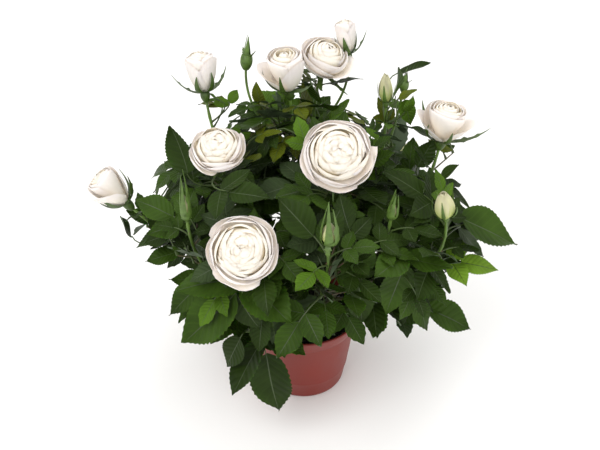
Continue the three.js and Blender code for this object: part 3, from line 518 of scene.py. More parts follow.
class Room:
    """What has grown already, so that nothing new runs into it."""

    MOST = 6000
    REACH = 24  # beyond a leaflet's end, within which a limb is tried against it
    LIMB_REACH = 40  # and the same between two limbs

    def __init__(self):
        wide = {"rim": (2 * len(OUTLINE_STOPS) - 2, 3), "length": (), "width": ()}
        wide.update({key: (3,) for key in ("base", "heading", "face", "across", "middle")})
        self.plates = {key: np.zeros((self.MOST, *size)) for key, size in wide.items()}
        self.plate_count = 0
        self.limb_from, self.limb_to = np.zeros((2, self.MOST, 3))
        self.limb_radius = np.zeros(self.MOST)
        self.limb_shoot = np.zeros(self.MOST, int)
        self.limb_count = 0
        flowers = FLOWERS.values()
        self.flower_at = np.array([each["at"] for each in flowers])
        self.flower_radius = np.array([max(each["width"], each["height"]) / 2 for each in flowers])

    def keep_plate(self, plate):
        """Keeps the room of a leaflet."""
        for key, value in plate.items():
            self.plates[key][self.plate_count] = value
        self.plate_count += 1

    def keep_limb(self, curve, radius, shoot_index, steps=8):
        """Keeps the room of a limb."""
        points = curve.point(np.linspace(0, 1, steps + 1))
        rows = slice(self.limb_count, self.limb_count + steps)
        self.limb_from[rows], self.limb_to[rows] = points[:-1], points[1:]
        self.limb_radius[rows], self.limb_shoot[rows] = radius, shoot_index
        self.limb_count += steps

    def plate_is_clear(self, plate, gap):
        """True where a leaflet keeps clear of flowers, limbs and other leaflets."""
        centre = plate["middle"]
        points = np.vstack([centre, plate["rim"]])
        if (lengths(points[:, None] - self.flower_at) <= self.flower_radius + gap).any():
            return False
        n = self.limb_count
        limb_from, limb_to = self.limb_from[:n], self.limb_to[:n]
        nearest = np.minimum(lengths(limb_from - centre), lengths(limb_to - centre))
        near = nearest <= plate["length"] / 2 + self.REACH
        if crosses(plate, limb_from[near], limb_to[near], self.limb_radius[:n][near] + gap).any():
            return False
        n = self.plate_count
        apart = lengths(self.plates["middle"][:n] - centre)
        near = np.flatnonzero(apart <= (self.plates["length"][:n] + plate["length"]) / 2 + gap)
        if not len(near):
            return True
        others = {key: value[near] for key, value in self.plates.items()}
        rim, rims = plate["rim"], others["rim"]
        if crosses(others, rim[:, None], np.roll(rim, -1, 0)[:, None], gap).any():
            return False
        return not crosses(plate, rims, np.roll(rims, -1, 1), gap).any()

    def twig_is_clear(self, curve, radius, shoot_index, skip=1):
        """True where a twig keeps clear of leaflets, flowers and the limbs of other shoots."""
        points = curve.point(np.linspace(0, 1, 6))[skip:]
        n, m = self.plate_count, self.limb_count
        for start, end in zip(points[:-1], points[1:]):
            near = lengths(self.plates["middle"][:n] - start) <= self.plates["length"][:n]
            others = {key: value[:n][near] for key, value in self.plates.items() if key != "rim"}
            if crosses(others, start, end, radius + CLEARANCE).any():
                return False
            near = self.limb_shoot[:m] != shoot_index
            near = near & (lengths(self.limb_from[:m] - start) <= self.LIMB_REACH)
            gaps = line_gaps(start, end, self.limb_from[:m][near], self.limb_to[:m][near])
            if (gaps <= radius + self.limb_radius[:m][near] + CLEARANCE).any():
                return False
            if (lengths(self.flower_at - end) <= self.flower_radius + radius).any():
                return False
        return True


def line_gaps(start, end, others_from, others_to):
    """The least distance from a line to each of several others, close enough for twigs."""
    points = start + (end - start) * np.linspace(0, 1, 5)[:, None, None]
    span = others_to - others_from
    share = np.clip(dot(points - others_from, span) / np.maximum(dot(span, span), 1e-9), 0, 1)
    closest = others_from + span * share[..., None]
    return lengths(points - closest).min(0)


def in_space(point, spec, margin=0):
    """True inside the crown and the space that a shoot keeps to."""
    away = (point - CROWN_CENTRE) / CROWN_RADII
    inside = dot(away, away) < 1 and point[2] > LOWEST_LEAF
    return inside and np.linalg.norm(point - spec["middle"]) < spec["radius"] - margin


def leaf_plan(foot, joint, tip, pairs, lean):
    """A compound leaf from its foot to the tip of its end leaflet, as plates and a stalk."""
    heading = unit(tip - joint)
    length = np.linalg.norm(tip - joint)
    stalk = arc(foot, joint, heading, STALK_STRAIGHT)
    sky = UP * LEAF_LIFT + unit(joint - CROWN_CENTRE) * LEAF_OUTWARD + lean
    plates = [plate_of(joint, heading, square_to(sky, heading), length, length * LEAFLET_WIDTH)]
    for pair in range(pairs):
        share = 1 - (LATERAL_START + pair * LATERAL_SPACING) * length / np.linalg.norm(foot - joint)
        if share < FIRST_JOIN:
            break
        face = square_to(sky, stalk.tangent(share))
        size = length * LATERAL_SIZES[pair]
        for side in (-1, 1):
            line = turned(stalk.tangent(share), face, side * LATERAL_ANGLE)
            plates.append(plate_of(stalk.point(share), line, face, size, size * LEAFLET_WIDTH))
    return {"stalk": stalk, "plates": plates}


def seat_of(each):
    """Where the stem ends, just inside a flower."""
    depth = OPEN_SEAT_DEPTH if each["kind"] == "open" else SEAT_DEPTH
    return each["at"] - each["facing"] * depth * each["height"]


def cane_arc(foot, tip):
    """A cane, from its foot on the soil to its tip."""
    start = place(*foot, SOIL_TOP + CLEARANCE)
    return Arc(start, start + UP * CANE_STRAIGHT, place(*tip))


def shoot_arc(spec, canes):
    """A bough and its stem in one, from the cane to the flower or place where they end."""
    start = canes[spec["cane"]].point(spec["up"])
    if isinstance(spec["ends"], tuple):
        end = place(*spec["ends"])
        return arc(start, end, unit(unit(end - start) + UP * TIP_RISE))
    bloom = FLOWERS[spec["ends"]]
    return arc(start, seat_of(bloom), bloom["facing"], FLOWER_STALK)


class Growth:
    """The whole plant as curves and plates: canes, boughs, stems, twigs and leaves."""

    def __init__(self):
        self.room = Room()
        self.canes = {name: cane_arc(*row) for name, row in CANES.items()}
        self.shoots = [self.shoot_of(index, *row) for index, row in enumerate(SHOOTS.items())]
        for index, curve in enumerate(self.canes.values()):
            self.room.keep_limb(curve, CANE_FOOT_RADIUS, -1 - index)
        for each in self.shoots:
            self.room.keep_limb(each["bough"], BOUGH_FOOT_RADIUS, each["index"])
            for curve in [each["stem"], *each["branches"]]:
                self.room.keep_limb(curve, BOUGH_TIP_RADIUS, each["index"], 10)
        self.grow_shown(SHOWN_LEAVES)
        for each in self.shoots:
            self.grow_shoot(each)
        self.grow_shown(SMALL_SHOWN_LEAVES)
        for each in self.shoots:
            self.grow_fine(each)

    def shoot_of(self, index, name, spec):
        """A shoot's bough, stem and branches, with nothing on them yet."""
        whole = shoot_arc(spec, self.canes)
        gap = CLEARANCE / whole.length()
        stem = whole.stretch(spec["bough"] + gap, 1)
        also = [(stem.point(share), FLOWERS[key]) for key, share in spec["also"].items()]
        return {
            "index": index,
            "name": name,
            "spec": spec,
            "bough": whole.stretch(0, spec["bough"]),
            "stem": stem,
            "branches": [arc(foot, seat_of(bloom), bloom["facing"]) for foot, bloom in also],
            "twigs": [],
            "fine_twigs": [],
            "leaves": [],
            "draws": Draws(spec["seed"]),
        }

    def keep_leaf(self, each, plan, tint=None):
        """Keeps a leaf's room, and the leaf too unless it has no tint of its own and hides sky."""
        for plate in plan["plates"]:
            self.room.keep_plate(plate)
        self.room.keep_limb(plan["stalk"], STALK_RADIUS, each["index"], 4)
        plan["tint"] = tint
        over = sum(over_sky(plate) for plate in plan["plates"])
        if tint or over < MOST_OVER_SKY * len(plan["plates"]):
            each["leaves"].append(plan)
            return True
        return False

    def grow_shown(self, rows):
        """Leaves with a place. What more turns a face is given only where its row ends in it."""
        for name, joint, tip, pairs, tint, *lean in rows:
            each = next(shoot for shoot in self.shoots if shoot["name"] == name)
            joint, tip = place(*joint), place(*tip)
            shares = np.arange(1, 20) / 20
            nearest = shares[lengths(each["stem"].point(shares) - joint).argmin()]
            foot = each["stem"].point(max(shares[0], nearest - SHOWN_FOOT_BACK))
            plan = leaf_plan(foot, joint, tip, pairs, place(*lean[0]) if lean else np.zeros(3))
            for plate in plan["plates"]:
                if dot(plate["face"], SHOWN_TO) < 0:
                    plate["face"], plate["across"] = -plate["face"], -plate["across"]
            fitting = [p for p in plan["plates"] if self.room.plate_is_clear(p, SHOWN_CLEARANCE)]
            if fitting and fitting[0] is plan["plates"][0]:
                self.keep_leaf(each, {**plan, "plates": fitting}, tint)

    def grow_leaf(self, each, curve, share, turn, size_share=1.0, manner=FULL):
        """Tries a leaf at one place on a twig, turned further each time. True if it is to be drawn."""
        draws, spec = each["draws"], each["spec"]
        foot, axis = curve.point(share), curve.tangent(share)
        side = side_of(axis)
        aside = [draws.between(-LEAN_ASIDE, LEAN_ASIDE) for _ in range(2)]
        lean = manner["sway"] * place(*aside, draws.between(*LEAN_UP)) + UP * manner["lift"]
        size = spec["leaflet"] * draws.between(*LEAF_SIZES) * size_share
        pairs = 1 if draws.next() < ONE_PAIR else 2
        for attempt in range(manner["tries"]):
            out = turned(side, axis, turn + attempt * GOLDEN_ANGLE)
            length = size * (1 - TRY_SHRINK * attempt)
            start = unit(out + axis * (END_LEAF_AHEAD if share > TWIG_END else LEAF_AHEAD))
            joint = foot + start * STALK_LENGTH * length
            tip = joint + unit(start - UP * LEAF_DROOP) * length
            if not (in_space(joint, spec) and in_space(tip, spec)):
                continue
            plan = leaf_plan(foot, joint, tip, pairs if attempt < manner["tries"] / 2 else 1, lean)
            if manner is FINE and any(over_sky(plate) for plate in plan["plates"]):
                continue
            if not all(self.room.plate_is_clear(plate, manner["gap"]) for plate in plan["plates"]):
                continue
            if self.room.twig_is_clear(plan["stalk"], STALK_RADIUS, each["index"]):
                return self.keep_leaf(each, plan)
        return False

    def grow_twig(self, each, share, turn, length_range, radius, tries=TRIES):
        """A side twig, or None where there is no room for one."""
        draws, spec, stem = each["draws"], each["spec"], each["stem"]
        foot, axis = stem.point(share), stem.tangent(share)
        side = side_of(axis)
        length = draws.between(*length_range)
        for attempt in range(tries):
            out = turned(side, axis, turn + attempt * GOLDEN_ANGLE)
            heading = unit(out + axis * TWIG_AHEAD)
            end = foot + heading * length
            if not in_space(end, spec, TWIG_MARGIN):
                continue
            twig = arc(foot, end, heading)
            if self.room.twig_is_clear(twig, radius, each["index"]):
                self.room.keep_limb(twig, radius, each["index"], 4)
                return twig
        return None

    def grow_shoot(self, each):
        """The side twigs and full leaves of a shoot."""
        spec, draws = each["spec"], each["draws"]
        for number in range(spec["twigs"]):
            share = FIRST_TWIG + TWIG_STRETCH * (number + 0.5) / spec["twigs"]
            turn = number * GOLDEN_ANGLE + draws.between(0, 1)
            twig = self.grow_twig(each, share, turn, TWIG_LENGTHS, TWIG_FOOT_RADIUS)
            if twig is not None:
                turn = functools.partial(draws.between, 0, 2 * math.pi)
                leaves = [s for s in TWIG_LEAVES if self.grow_leaf(each, twig, s, turn())]
                if leaves:
                    each["twigs"].append(twig.stretch(0, max(leaves)))
        for share in STEM_LEAVES:
            self.grow_leaf(each, each["stem"], share, draws.between(0, 6))

    def grow_fine(self, each):
        """The finer twigs and small leaves of a shoot."""
        draws = each["draws"]
        for number, share in enumerate(FINE_TWIG_SHARES):
            turn = (number + 0.5) * GOLDEN_ANGLE + draws.between(0, 1)
            twig = self.grow_twig(each, share, turn, FINE_TWIG_LENGTHS, FINE_TWIG_RADIUS, FINE["tries"])
            if twig is not None:
                leaves = [s for s in FINE_TWIG_LEAVES if self.grow_small_leaf(each, twig, s)]
                if leaves:
                    each["fine_twigs"].append(twig.stretch(0, max(leaves)))
        for share in FINE_STEM_LEAVES:
            self.grow_small_leaf(each, each["stem"], share)
        for twig in each["twigs"]:
            for leaf_share in FINE_ON_TWIGS:
                self.grow_small_leaf(each, twig, leaf_share)

    def grow_small_leaf(self, each, curve, share):
        """Tries a small leaf, smaller and rarer towards the top."""
        turn = each["draws"].between(0, 2 * math.pi)
        high = np.interp(curve.point(share)[2], TOP_HEIGHTS, (0, 1))
        if each["draws"].next() < high * TOP_SKIPPED:
            return False
        size = FINE_LEAFLET + (TOP_LEAFLET - FINE_LEAFLET) * high
        return self.grow_leaf(each, curve, share, turn, size, FINE)


@functools.cache
def growth():
    """The plant, grown at the first call."""
    return Growth()


# Shapes: each starts from a bmesh operator, and is read once so that arrays can repeat it

LEAF_RIB, LEAF_UNDER = 1, 2  # slots of a leaflet's faces, after its upper side
RIB_HALF_WIDTH = 0.03  # of half a leaflet's width
ON_EDGE = 0.9  # further out than this across a sheet is its edge
SAME_PLACE = 1e-4  # points closer than this are one
SHARP_EDGE = math.radians(55)
STEEP = 0.9  # a limb this far upright has its sides told from the x axis
ALONG = "along"  # the map that holds each leaf's and petal's own across and along
MOST_TRIANGLES = 190_000


class Shape:
    """A small closed shape in its own unit space, with its faces and their material slots."""

    def __init__(self, mesh):
        mesh.verts.index_update()
        self.flat = np.array([vertex.co for vertex in mesh.verts])
        self.corners = np.array([vertex.index for face in mesh.faces for vertex in face.verts])
        self.sizes = np.array([len(face.verts) for face in mesh.faces])
        self.slots = np.array([face.material_index for face in mesh.faces])
        mesh.free()


@functools.cache
def sheet_shape(columns, rows, ribbed=False):
    """A closed sheet that thins to its rim: x runs -1 to 1 across, y 0 to 1 along, z 0 to 1 through it."""
    mesh = bmesh.new()
    bmesh.ops.create_grid(mesh, x_segments=columns, y_segments=rows, size=1)
    for vertex in mesh.verts:
        if ribbed and abs(vertex.co.x) < ON_EDGE:
            vertex.co.x = math.copysign(RIB_HALF_WIDTH, vertex.co.x)
    bmesh.ops.translate(mesh, verts=mesh.verts, vec=(0, 1, 0))
    bmesh.ops.scale(mesh, verts=mesh.verts, vec=(1, 0.5, 1))
    under = bmesh.ops.duplicate(mesh, geom=mesh.verts[:] + mesh.edges[:] + mesh.faces[:])["geom"]
    below = [g for g in under if isinstance(g, bmesh.types.BMFace)]
    lower = {vertex for face in below for vertex in face.verts}
    bmesh.ops.reverse_faces(mesh, faces=below)
    for vertex in mesh.verts:
        vertex.co.z = 0.5 if vertex.is_boundary else float(vertex not in lower)
    for face in mesh.faces:
        if ribbed and max(abs(vertex.co.x) for vertex in face.verts) < 2 * RIB_HALF_WIDTH:
            face.material_index = LEAF_RIB
    for face in below:
        face.material_index = LEAF_UNDER
    bmesh.ops.remove_doubles(mesh, verts=mesh.verts, dist=SAME_PLACE)
    return Shape(mesh)


@functools.cache
def tube_shape(sides, steps, tip=1):
    """A closed tube of height 1 in rings, of radius 1 at its foot and `tip` at its upper end."""
    mesh = bmesh.new()
    size = {"segments": sides, "radius1": 1, "radius2": tip, "depth": 1}
    bmesh.ops.create_cone(mesh, cap_ends=True, cap_tris=True, **size)
    bmesh.ops.translate(mesh, verts=mesh.verts, vec=(0, 0, 0.5))
    if steps > 1:
        upright = [edge for edge in mesh.edges if abs(edge.verts[0].co.z - edge.verts[1].co.z) > 0.5]
        bmesh.ops.subdivide_edges(mesh, edges=upright, cuts=steps - 1, use_grid_fill=True)
    bmesh.ops.recalc_face_normals(mesh, faces=mesh.faces)
    return Shape(mesh)


def new_object(name, data):
    """Adds an object to the scene at the origin."""
    made = bpy.data.objects.new(name, data)
    bpy.context.scene.collection.objects.link(made)
    return made


def add_piece(name, mesh, finish_names, slot, *nodes):
    """Adds a finished mesh as a piece that rides with the plant and stands for nodes of the frame."""
    mesh.polygons.foreach_set("use_smooth", np.ones(len(mesh.polygons), bool))
    mesh.set_sharp_from_angle(angle=SHARP_EDGE)
    for key in finish_names:
        mesh.materials.append(finishes()[key])
    piece = new_object(name, mesh)
    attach(piece, "root")
    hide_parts(*nodes)


def named(start):
    """The frame's nodes whose names start so."""
    return [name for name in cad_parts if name.startswith(start)]


class Batch:
    """Copies of shapes on their way to one joined mesh."""

    def __init__(self):
        self.parts = {"points": [], "corners": [], "sizes": [], "slots": [], "along": []}
        self.count = 0

    def add(self, shape, points, slot=None):
        """Adds one copy of a shape, or several in rows, by the places of its vertices in millimetres."""
        copies = points.size // shape.flat.size
        firsts = self.count + len(shape.flat) * np.arange(copies)
        slots = shape.slots if slot is None else np.full(len(shape.slots), slot)
        self.parts["points"].append(points.reshape(-1, 3))
        self.parts["corners"].append((shape.corners + firsts[:, None]).ravel())
        self.parts["sizes"].append(np.tile(shape.sizes, copies))
        self.parts["slots"].append(np.tile(slots, copies))
        self.parts["along"].append(np.tile(shape.flat[shape.corners][:, :2], (copies, 1)))
        self.count += copies * len(shape.flat)

    def finish(self, name, finish_names, slot, *nodes):
        """Joins the copies to one mesh in metres and adds it as a piece."""
        whole = {key: np.concatenate(rows) for key, rows in self.parts.items()}
        triangles = (whole["sizes"] - 2).sum()
        if triangles > MOST_TRIANGLES:
            raise RuntimeError(f"{name} has {triangles} triangles")
        mesh = bpy.data.meshes.new(name)
        mesh.vertices.add(len(whole["points"]))
        mesh.loops.add(len(whole["corners"]))
        mesh.polygons.add(len(whole["sizes"]))
        for data, field, values in (
            (mesh.vertices, "co", (whole["points"] * MM).astype(np.float32)),
            (mesh.loops, "vertex_index", whole["corners"].astype(np.int32)),
            (mesh.polygons, "loop_start", (np.cumsum(whole["sizes"]) - whole["sizes"]).astype(np.int32)),
            (mesh.polygons, "material_index", whole["slots"].astype(np.int32)),
        ):
            data.foreach_set(field, values.ravel())
        layer = mesh.uv_layers.new(name=ALONG)
        layer.data.foreach_set("uv", whole["along"].astype(np.float32).ravel())
        mesh.update(calc_edges=True)
        add_piece(name, mesh, finish_names, slot, *nodes)


def mesh_of(bm, name):
    """A bmesh in millimetres as a mesh in metres."""
    bmesh.ops.scale(bm, verts=bm.verts, vec=(MM, MM, MM))
    mesh = bpy.data.meshes.new(name)
    bm.to_mesh(mesh)
    bm.free()
    return mesh


def spun(profile, steps):
    """A closed turned shape, from a profile of radius and height that starts and ends on the axis."""
    bm = bmesh.new()
    verts = [bm.verts.new((radius, 0, height)) for radius, height in profile]
    line = verts + [bm.edges.new(pair) for pair in zip(verts[:-1], verts[1:])]
    turn = {"cent": (0, 0, 0), "axis": (0, 0, 1), "angle": 2 * math.pi}
    bmesh.ops.spin(bm, geom=line, steps=steps, use_merge=True, **turn)
    bmesh.ops.remove_doubles(bm, verts=bm.verts, dist=SAME_PLACE)
    bmesh.ops.recalc_face_normals(bm, faces=bm.faces)
    return bm


def tube_points(shape, curve, radius_at):
    """A tube bent onto a curve. radius_at takes the share of the way along and the angle round it."""
    x, y, share = shape.flat.T
    heading = curve.tangent(share)
    bend = np.cross(curve.control - curve.start, curve.end - curve.start)
    if np.linalg.norm(bend) < SAME_PLACE:
        bend = EAST if abs(unit(curve.end - curve.start)[2]) > STEEP else UP
    side = square_to(np.broadcast_to(unit(bend), heading.shape), heading)
    angle = np.arctan2(y, x)[:, None]
    out = side * np.cos(angle) + np.cross(heading, side) * np.sin(angle)
    return curve.point(share) + out * (radius_at(share, angle[:, 0]) * np.hypot(x, y))[:, None]


def taper(foot, tip):
    """A radius that runs evenly from a limb's foot to its tip."""
    return lambda share, angle: foot + (tip - foot) * share


# Materials

VEINS = 8  # pairs of lateral veins on a leaflet
VEIN_SLANT = 0.2  # how far a vein runs forward on its way to the edge, of the leaflet's length
PETAL_FOLDS = (14, 2.5, 1)  # how many soft folds a petal has across and along


def shade(colour, share):
    """A colour made darker, or lighter where the share is above 1."""
    return tuple(min(1.0, part * share) for part in colour[:3]) + (1.0,)


def per_metre(millimetres):
    """The scale of a noise whose marks are that wide."""
    return 1 / (millimetres * MM)


class Surface:
    """A new material with a principled shader, and the nodes that lead to it."""

    def __init__(self, name, colour, inputs):
        self.material = bpy.data.materials.new(name)
        self.material.use_nodes = True
        self.material.diffuse_color = colour
        self.tree = self.material.node_tree
        self.shader = self.tree.nodes["Principled BSDF"]
        for key, value in inputs.items():
            self.shader.inputs[key].default_value = value
        self.where = self.add("ShaderNodeTexCoord", output="Object")

    def add(self, kind, inputs=None, output=0, **settings):
        """Adds a node with its settings, and its inputs as values or links. Gives one of its outputs."""
        node = self.tree.nodes.new(kind)
        for name, value in settings.items():
            setattr(node, name, value)
        for name, value in (inputs or {}).items():
            if isinstance(value, bpy.types.NodeSocket):
                self.tree.links.new(value, node.inputs[name])
            else:
                node.inputs[name].default_value = value
        return node.outputs[output]

    def finish(self, relief, depth_mm, strength, **colour_and_gloss):
        """Leads the last nodes to the shader: its relief first, then what is given by name."""
        heights = {"Height": relief, "Distance": depth_mm * MM, "Strength": strength}
        ends = {"Normal": self.add("ShaderNodeBump", heights), **colour_and_gloss}
        for name, socket in ends.items():
            self.tree.links.new(socket, self.shader.inputs[name.replace("_", " ")])
        return self.material


def leaf_surface(name, colour, roughness):
    """Living leaf: a waxy cuticle with a soft gloss over varied green, swollen between slanting veins."""
    gloss = {"Roughness": roughness, "Specular IOR Level": 0.08}
    depth = {"Subsurface Weight": 0.05, "Subsurface Radius": (0.3, 0.6, 0.1), "Subsurface Scale": 1 * MM}
    leaf = Surface(name, colour, {**gloss, **depth})
    flat = {"Vector": leaf.add("ShaderNodeUVMap", uv_map=ALONG)}
    aside, ahead, _ = leaf.add("ShaderNodeSeparateXYZ", flat).node.outputs
    across = leaf.add("ShaderNodeMath", {0: aside}, operation="ABSOLUTE")
    slant = leaf.add("ShaderNodeMath", {0: across, 1: -VEIN_SLANT, 2: ahead}, operation="MULTIPLY_ADD")
    turns = leaf.add("ShaderNodeMath", {0: slant, 1: 2.0 * VEINS}, operation="MULTIPLY")
    saw = leaf.add("ShaderNodeMath", {0: turns, 1: 1.0}, operation="PINGPONG")
    swell = leaf.add("ShaderNodeMapRange", {"Value": saw}, interpolation_type="SMOOTHSTEP")
    vein = leaf.add("ShaderNodeMapRange", {"Value": saw, "From Max": 0.3, "To Min": 0.2, "To Max": 0.0})
    blotch = leaf.add("ShaderNodeTexNoise", {"Vector": leaf.where, "Scale": per_metre(34), "Detail": 3.0})
    spread = leaf.add("ShaderNodeMapRange", {"Value": blotch, "From Min": 0.35, "From Max": 0.65})
    greens = {0: spread, 6: shade(colour, 0.7), 7: shade(colour, 1.35)}
    varied = leaf.add("ShaderNodeMix", greens, 2, data_type="RGBA")
    veined = leaf.add("ShaderNodeMix", {0: vein, 6: varied, 7: shade(colour, 2.0)}, 2, data_type="RGBA")
    return leaf.finish(swell, sizes().vein_relief / MM, 0.8, Base_Color=veined)


def plain_surface(name, colour, roughness, wide_mm, fine_mm, depth_mm, contrast=0.25, other=None):
    """A finish whose colour wanders over a few millimetres, with a fine grain in its relief."""
    plain = Surface(name, colour, {"Roughness": roughness})
    clouds = {"Vector": plain.where, "Scale": per_metre(wide_mm), "Detail": 4.0}
    cloud = plain.add("ShaderNodeTexNoise", clouds)
    spread = plain.add("ShaderNodeMapRange", {"Value": cloud, "From Min": 0.34, "From Max": 0.66})
    tones = {0: spread, 6: shade(colour, 1 - contrast), 7: other or shade(colour, 1 + contrast)}
    varied = plain.add("ShaderNodeMix", tones, 2, data_type="RGBA")
    grains = {"Vector": plain.where, "Scale": per_metre(fine_mm), "Detail": 3.0}
    return plain.finish(plain.add("ShaderNodeTexNoise", grains), depth_mm, 0.6, Base_Color=varied)


def petal_surface(name, colour, heart):
    """Rose petal: matt and silky, glowing where light comes through, and tinted towards its foot. On white
    petals that cream is partly their own tint and partly painted warm shade of the crevices deep in the
    flower.
    """
    silk = {"Roughness": 0.6, "Specular IOR Level": 0.2}
    depth = {"Subsurface Weight": 0.4, "Subsurface Radius": (1.0, 0.95, 0.8), "Subsurface Scale": 2 * MM}
    petal = Surface(name, colour, {**silk, **depth})
    flat = petal.add("ShaderNodeUVMap", uv_map=ALONG)
    ahead = petal.add("ShaderNodeSeparateXYZ", {"Vector": flat}, "Y")
    # Painted warm shade: towards its foot, deep in the flower, a petal turns to its foot colour. On white
    # petals this cream is partly their own tint and partly stands for the shade between the rings; on young
    # petals the green foot is their own.
    cream = {"Value": ahead, "From Min": 0.3, "From Max": 0.95}
    rise = petal.add("ShaderNodeMapRange", cream, interpolation_type="SMOOTHSTEP")
    creamy = petal.add("ShaderNodeMix", {0: rise, 6: heart, 7: colour}, 2, data_type="RGBA")
    folded = petal.add("ShaderNodeVectorMath", {0: flat, 1: PETAL_FOLDS}, operation="MULTIPLY")
    folds = petal.add("ShaderNodeTexNoise", {"Vector": folded, "Scale": 1.0, "Detail": 2.0})
    return petal.finish(folds, 0.35, 0.35, Base_Color=creamy)


def pot_surface(name, colour):
    """Injection moulded polypropylene with a satin face, a little orange peel, and scuffs that dull it."""
    pot = Surface(name, colour, {"IOR": 1.49, "Specular IOR Level": 0.45})
    cloud = pot.add("ShaderNodeTexNoise", {"Vector": pot.where, "Scale": per_metre(26), "Detail": 4.0})
    tones = {0: cloud, 6: shade(colour, 0.9), 7: shade(colour, 1.1)}
    varied = pot.add("ShaderNodeMix", tones, 2, data_type="RGBA")
    scuffs = {"Value": cloud, "From Min": 0.3, "From Max": 0.7, "To Min": 0.36, "To Max": 0.52}
    dull = pot.add("ShaderNodeMapRange", scuffs)
    peel = pot.add("ShaderNodeTexNoise", {"Vector": pot.where, "Scale": per_metre(1.6), "Detail": 1.0})
    return pot.finish(peel, 0.06, 0.4, Base_Color=varied, Roughness=dull)


# The tints of leaves: the piece that each makes, its share of the leaves in the middle of the crown and at
# its top, where leaves are newer, and its roughness
TINTS = {
    "dark": ("leaves_dark", 0.44, 0.0, 0.42),
    "middle": ("leaves_green", 0.42, 0.26, 0.45),
    # grey: painted sheen, a greyer green standing for white light reflected off glossy leaves
    "grey": ("leaves_grey_green_painted_sheen", 0.1, 0.0, 0.55),
    "young": ("leaves_young", 0.04, 0.34, 0.45),
    "bright": ("leaves_newest", 0.0, 0.0, 0.45),
    "olive": ("leaves_olive", 0.0, 0.4, 0.45),
}


@functools.cache
def finishes():
    """Every finish on the plant and its pot, by name."""
    c = {key: tuple(getattr(colours(), key)) for key in RoseColours.__annotations__}
    leaves = {
        tint: leaf_surface(f"leaf_cuticle_{tint}", c[f"leaf_{tint}"], roughness)
        for tint, (_, _, _, roughness) in TINTS.items()
    }
    deep_green = shade(c["stem_green"], 0.5)
    return leaves | {
        "under": plain_surface("leaf_underside", c["leaf_under"], 0.62, 9, 0.9, 0.15, 0.2),
        "rib": plain_surface("leaf_midrib", c["leaf_rib"], 0.5, 6, 0.8, 0.1, 0.15),
        "stem": plain_surface("green_stem", c["stem_green"], 0.45, 16, 0.9, 0.12),
        "twig": plain_surface("flushed_twig", c["twig"], 0.5, 22, 0.8, 0.08, 0.2, c["stem_red"]),
        "stalk": plain_surface("leaf_stalk", c["twig"], 0.5, 14, 0.8, 0.08, 0.2, deep_green),
        "prickle": plain_surface("red_prickle", c["stem_red"], 0.4, 2, 0.5, 0.05, 0.2),
        "bark": plain_surface("rose_cane_bark", c["bark"], 0.75, 5, 0.7, 0.25, 0.3, c["twig"]),
        "calyx": plain_surface("green_calyx", c["calyx"], 0.5, 4, 0.6, 0.08),
        "young_calyx": plain_surface("young_green_calyx", c["young_calyx"], 0.5, 4, 0.6, 0.08),
        "petal_white": petal_surface("white_outer_petal", c["petal_white"], c["petal_warm"]),
        "petal_warm": petal_surface("warm_inner_petal", c["petal_warm"], c["petal_heart"]),
        "petal_young": petal_surface("greenish_young_petal", c["petal_young"], c["petal_green"]),
        "pot": pot_surface("moulded_polypropylene", c["pot_plastic"]),
        "peat": plain_surface("damp_peat", c["peat"], 0.95, 4, 0.7, 0.5, 0.5),
        "floor": plain_surface("studio_floor_paint", c["floor"], 0.9, 400, 3, 0.02, 0.01),
    }


# Leaves

TINT_HEIGHTS = (234, 252)  # between which the lower tints pass into the upper ones
TINT_BACK = 0.35  # how much higher a leaf counts for each millimetre that it is behind the plant's middle
ROWS = {"shown": 30, "large": 16, "small": 10}  # rows of faces along a leaflet, a tooth's flank in each
SMALL_LEAFLET = 30  # leaflets shorter than this have fewer faces
TOOTH_DEPTH = 0.065  # of the leaflet's half width
TOOTH_LEAN = 0.25  # how far a tooth points forward, of the way to the next row
OUTLINE_SKEW = 0.8  # below 1, a leaflet is widest nearer its foot
OUTLINE_POWERS = (0.55, 1.15)  # how bluntly it rounds off at its foot and at its tip
NARROW_ENDS = (0.05, 0.012)  # the least width at a leaflet's foot and tip, of its full width
FOLD = 0.07  # how deep a leaflet is folded along its midrib, of its length
ARCH = 0.09  # how far it bends up in its middle at the most
NOD = 0.08  # how far its tip hangs at the most
WAVE = 0.03  # how far its edges wave


def leaflet_points(shape, rows, plates, rng):
    """Where the vertices of each leaflet lie: toothed, folded along its midrib, arched and waved."""
    keys = ("length", "width", "base", "heading", "face")
    length, width, base, heading, face = (np.array([p[key] for p in plates])[:, None] for key in keys)
    across, along, through = shape.flat.T
    row = np.rint(along * rows)
    on_edge = abs(across) > ON_EDGE
    notched = np.where(on_edge & (row % 2 == 0), 1 - TOOTH_DEPTH, 1)
    blunt, sharp = OUTLINE_POWERS
    outline = np.sin(np.pi * along**OUTLINE_SKEW).clip(0) ** (blunt + (sharp - blunt) * along)
    half = width / 2 * np.maximum(outline * notched, np.where(along < 0.5, *NARROW_ENDS))
    forward = np.where(on_edge & (row % 2 == 1), TOOTH_LEAN / rows, 0)

    def draw(low, high):
        return rng.uniform(low, high, (len(plates), 1))

    fold = -FOLD * length * (1 - abs(across)) * np.sin(np.pi * along) ** 0.5 * draw(0.3, 1.5)
    arch = length * (draw(0.0, ARCH) * np.sin(np.pi * along) - draw(0.0, NOD) * along**3)
    wave = WAVE * length * across * np.sin(2 * np.pi * (along * draw(0.8, 1.6) + draw(0, 1)))
    x = across * half
    y = (along + forward) * length
    z = fold + arch + wave + (through - 1) * sizes().leaf_thickness / MM
    return base + x[..., None] * np.cross(heading, face) + y[..., None] * heading + z[..., None] * face


def tint_of(leaf, rng):
    """The tint of a leaf: its own, or one drawn for its height."""
    _, back, height = leaf["plates"][0]["base"]
    high = np.interp(height + TINT_BACK * back, TINT_HEIGHTS, (0, 1))
    weights = [(1 - high) * low_share + high * top_share for _, low_share, top_share, _ in TINTS.values()]
    return leaf["tint"] or str(rng.choice(list(TINTS), p=weights))


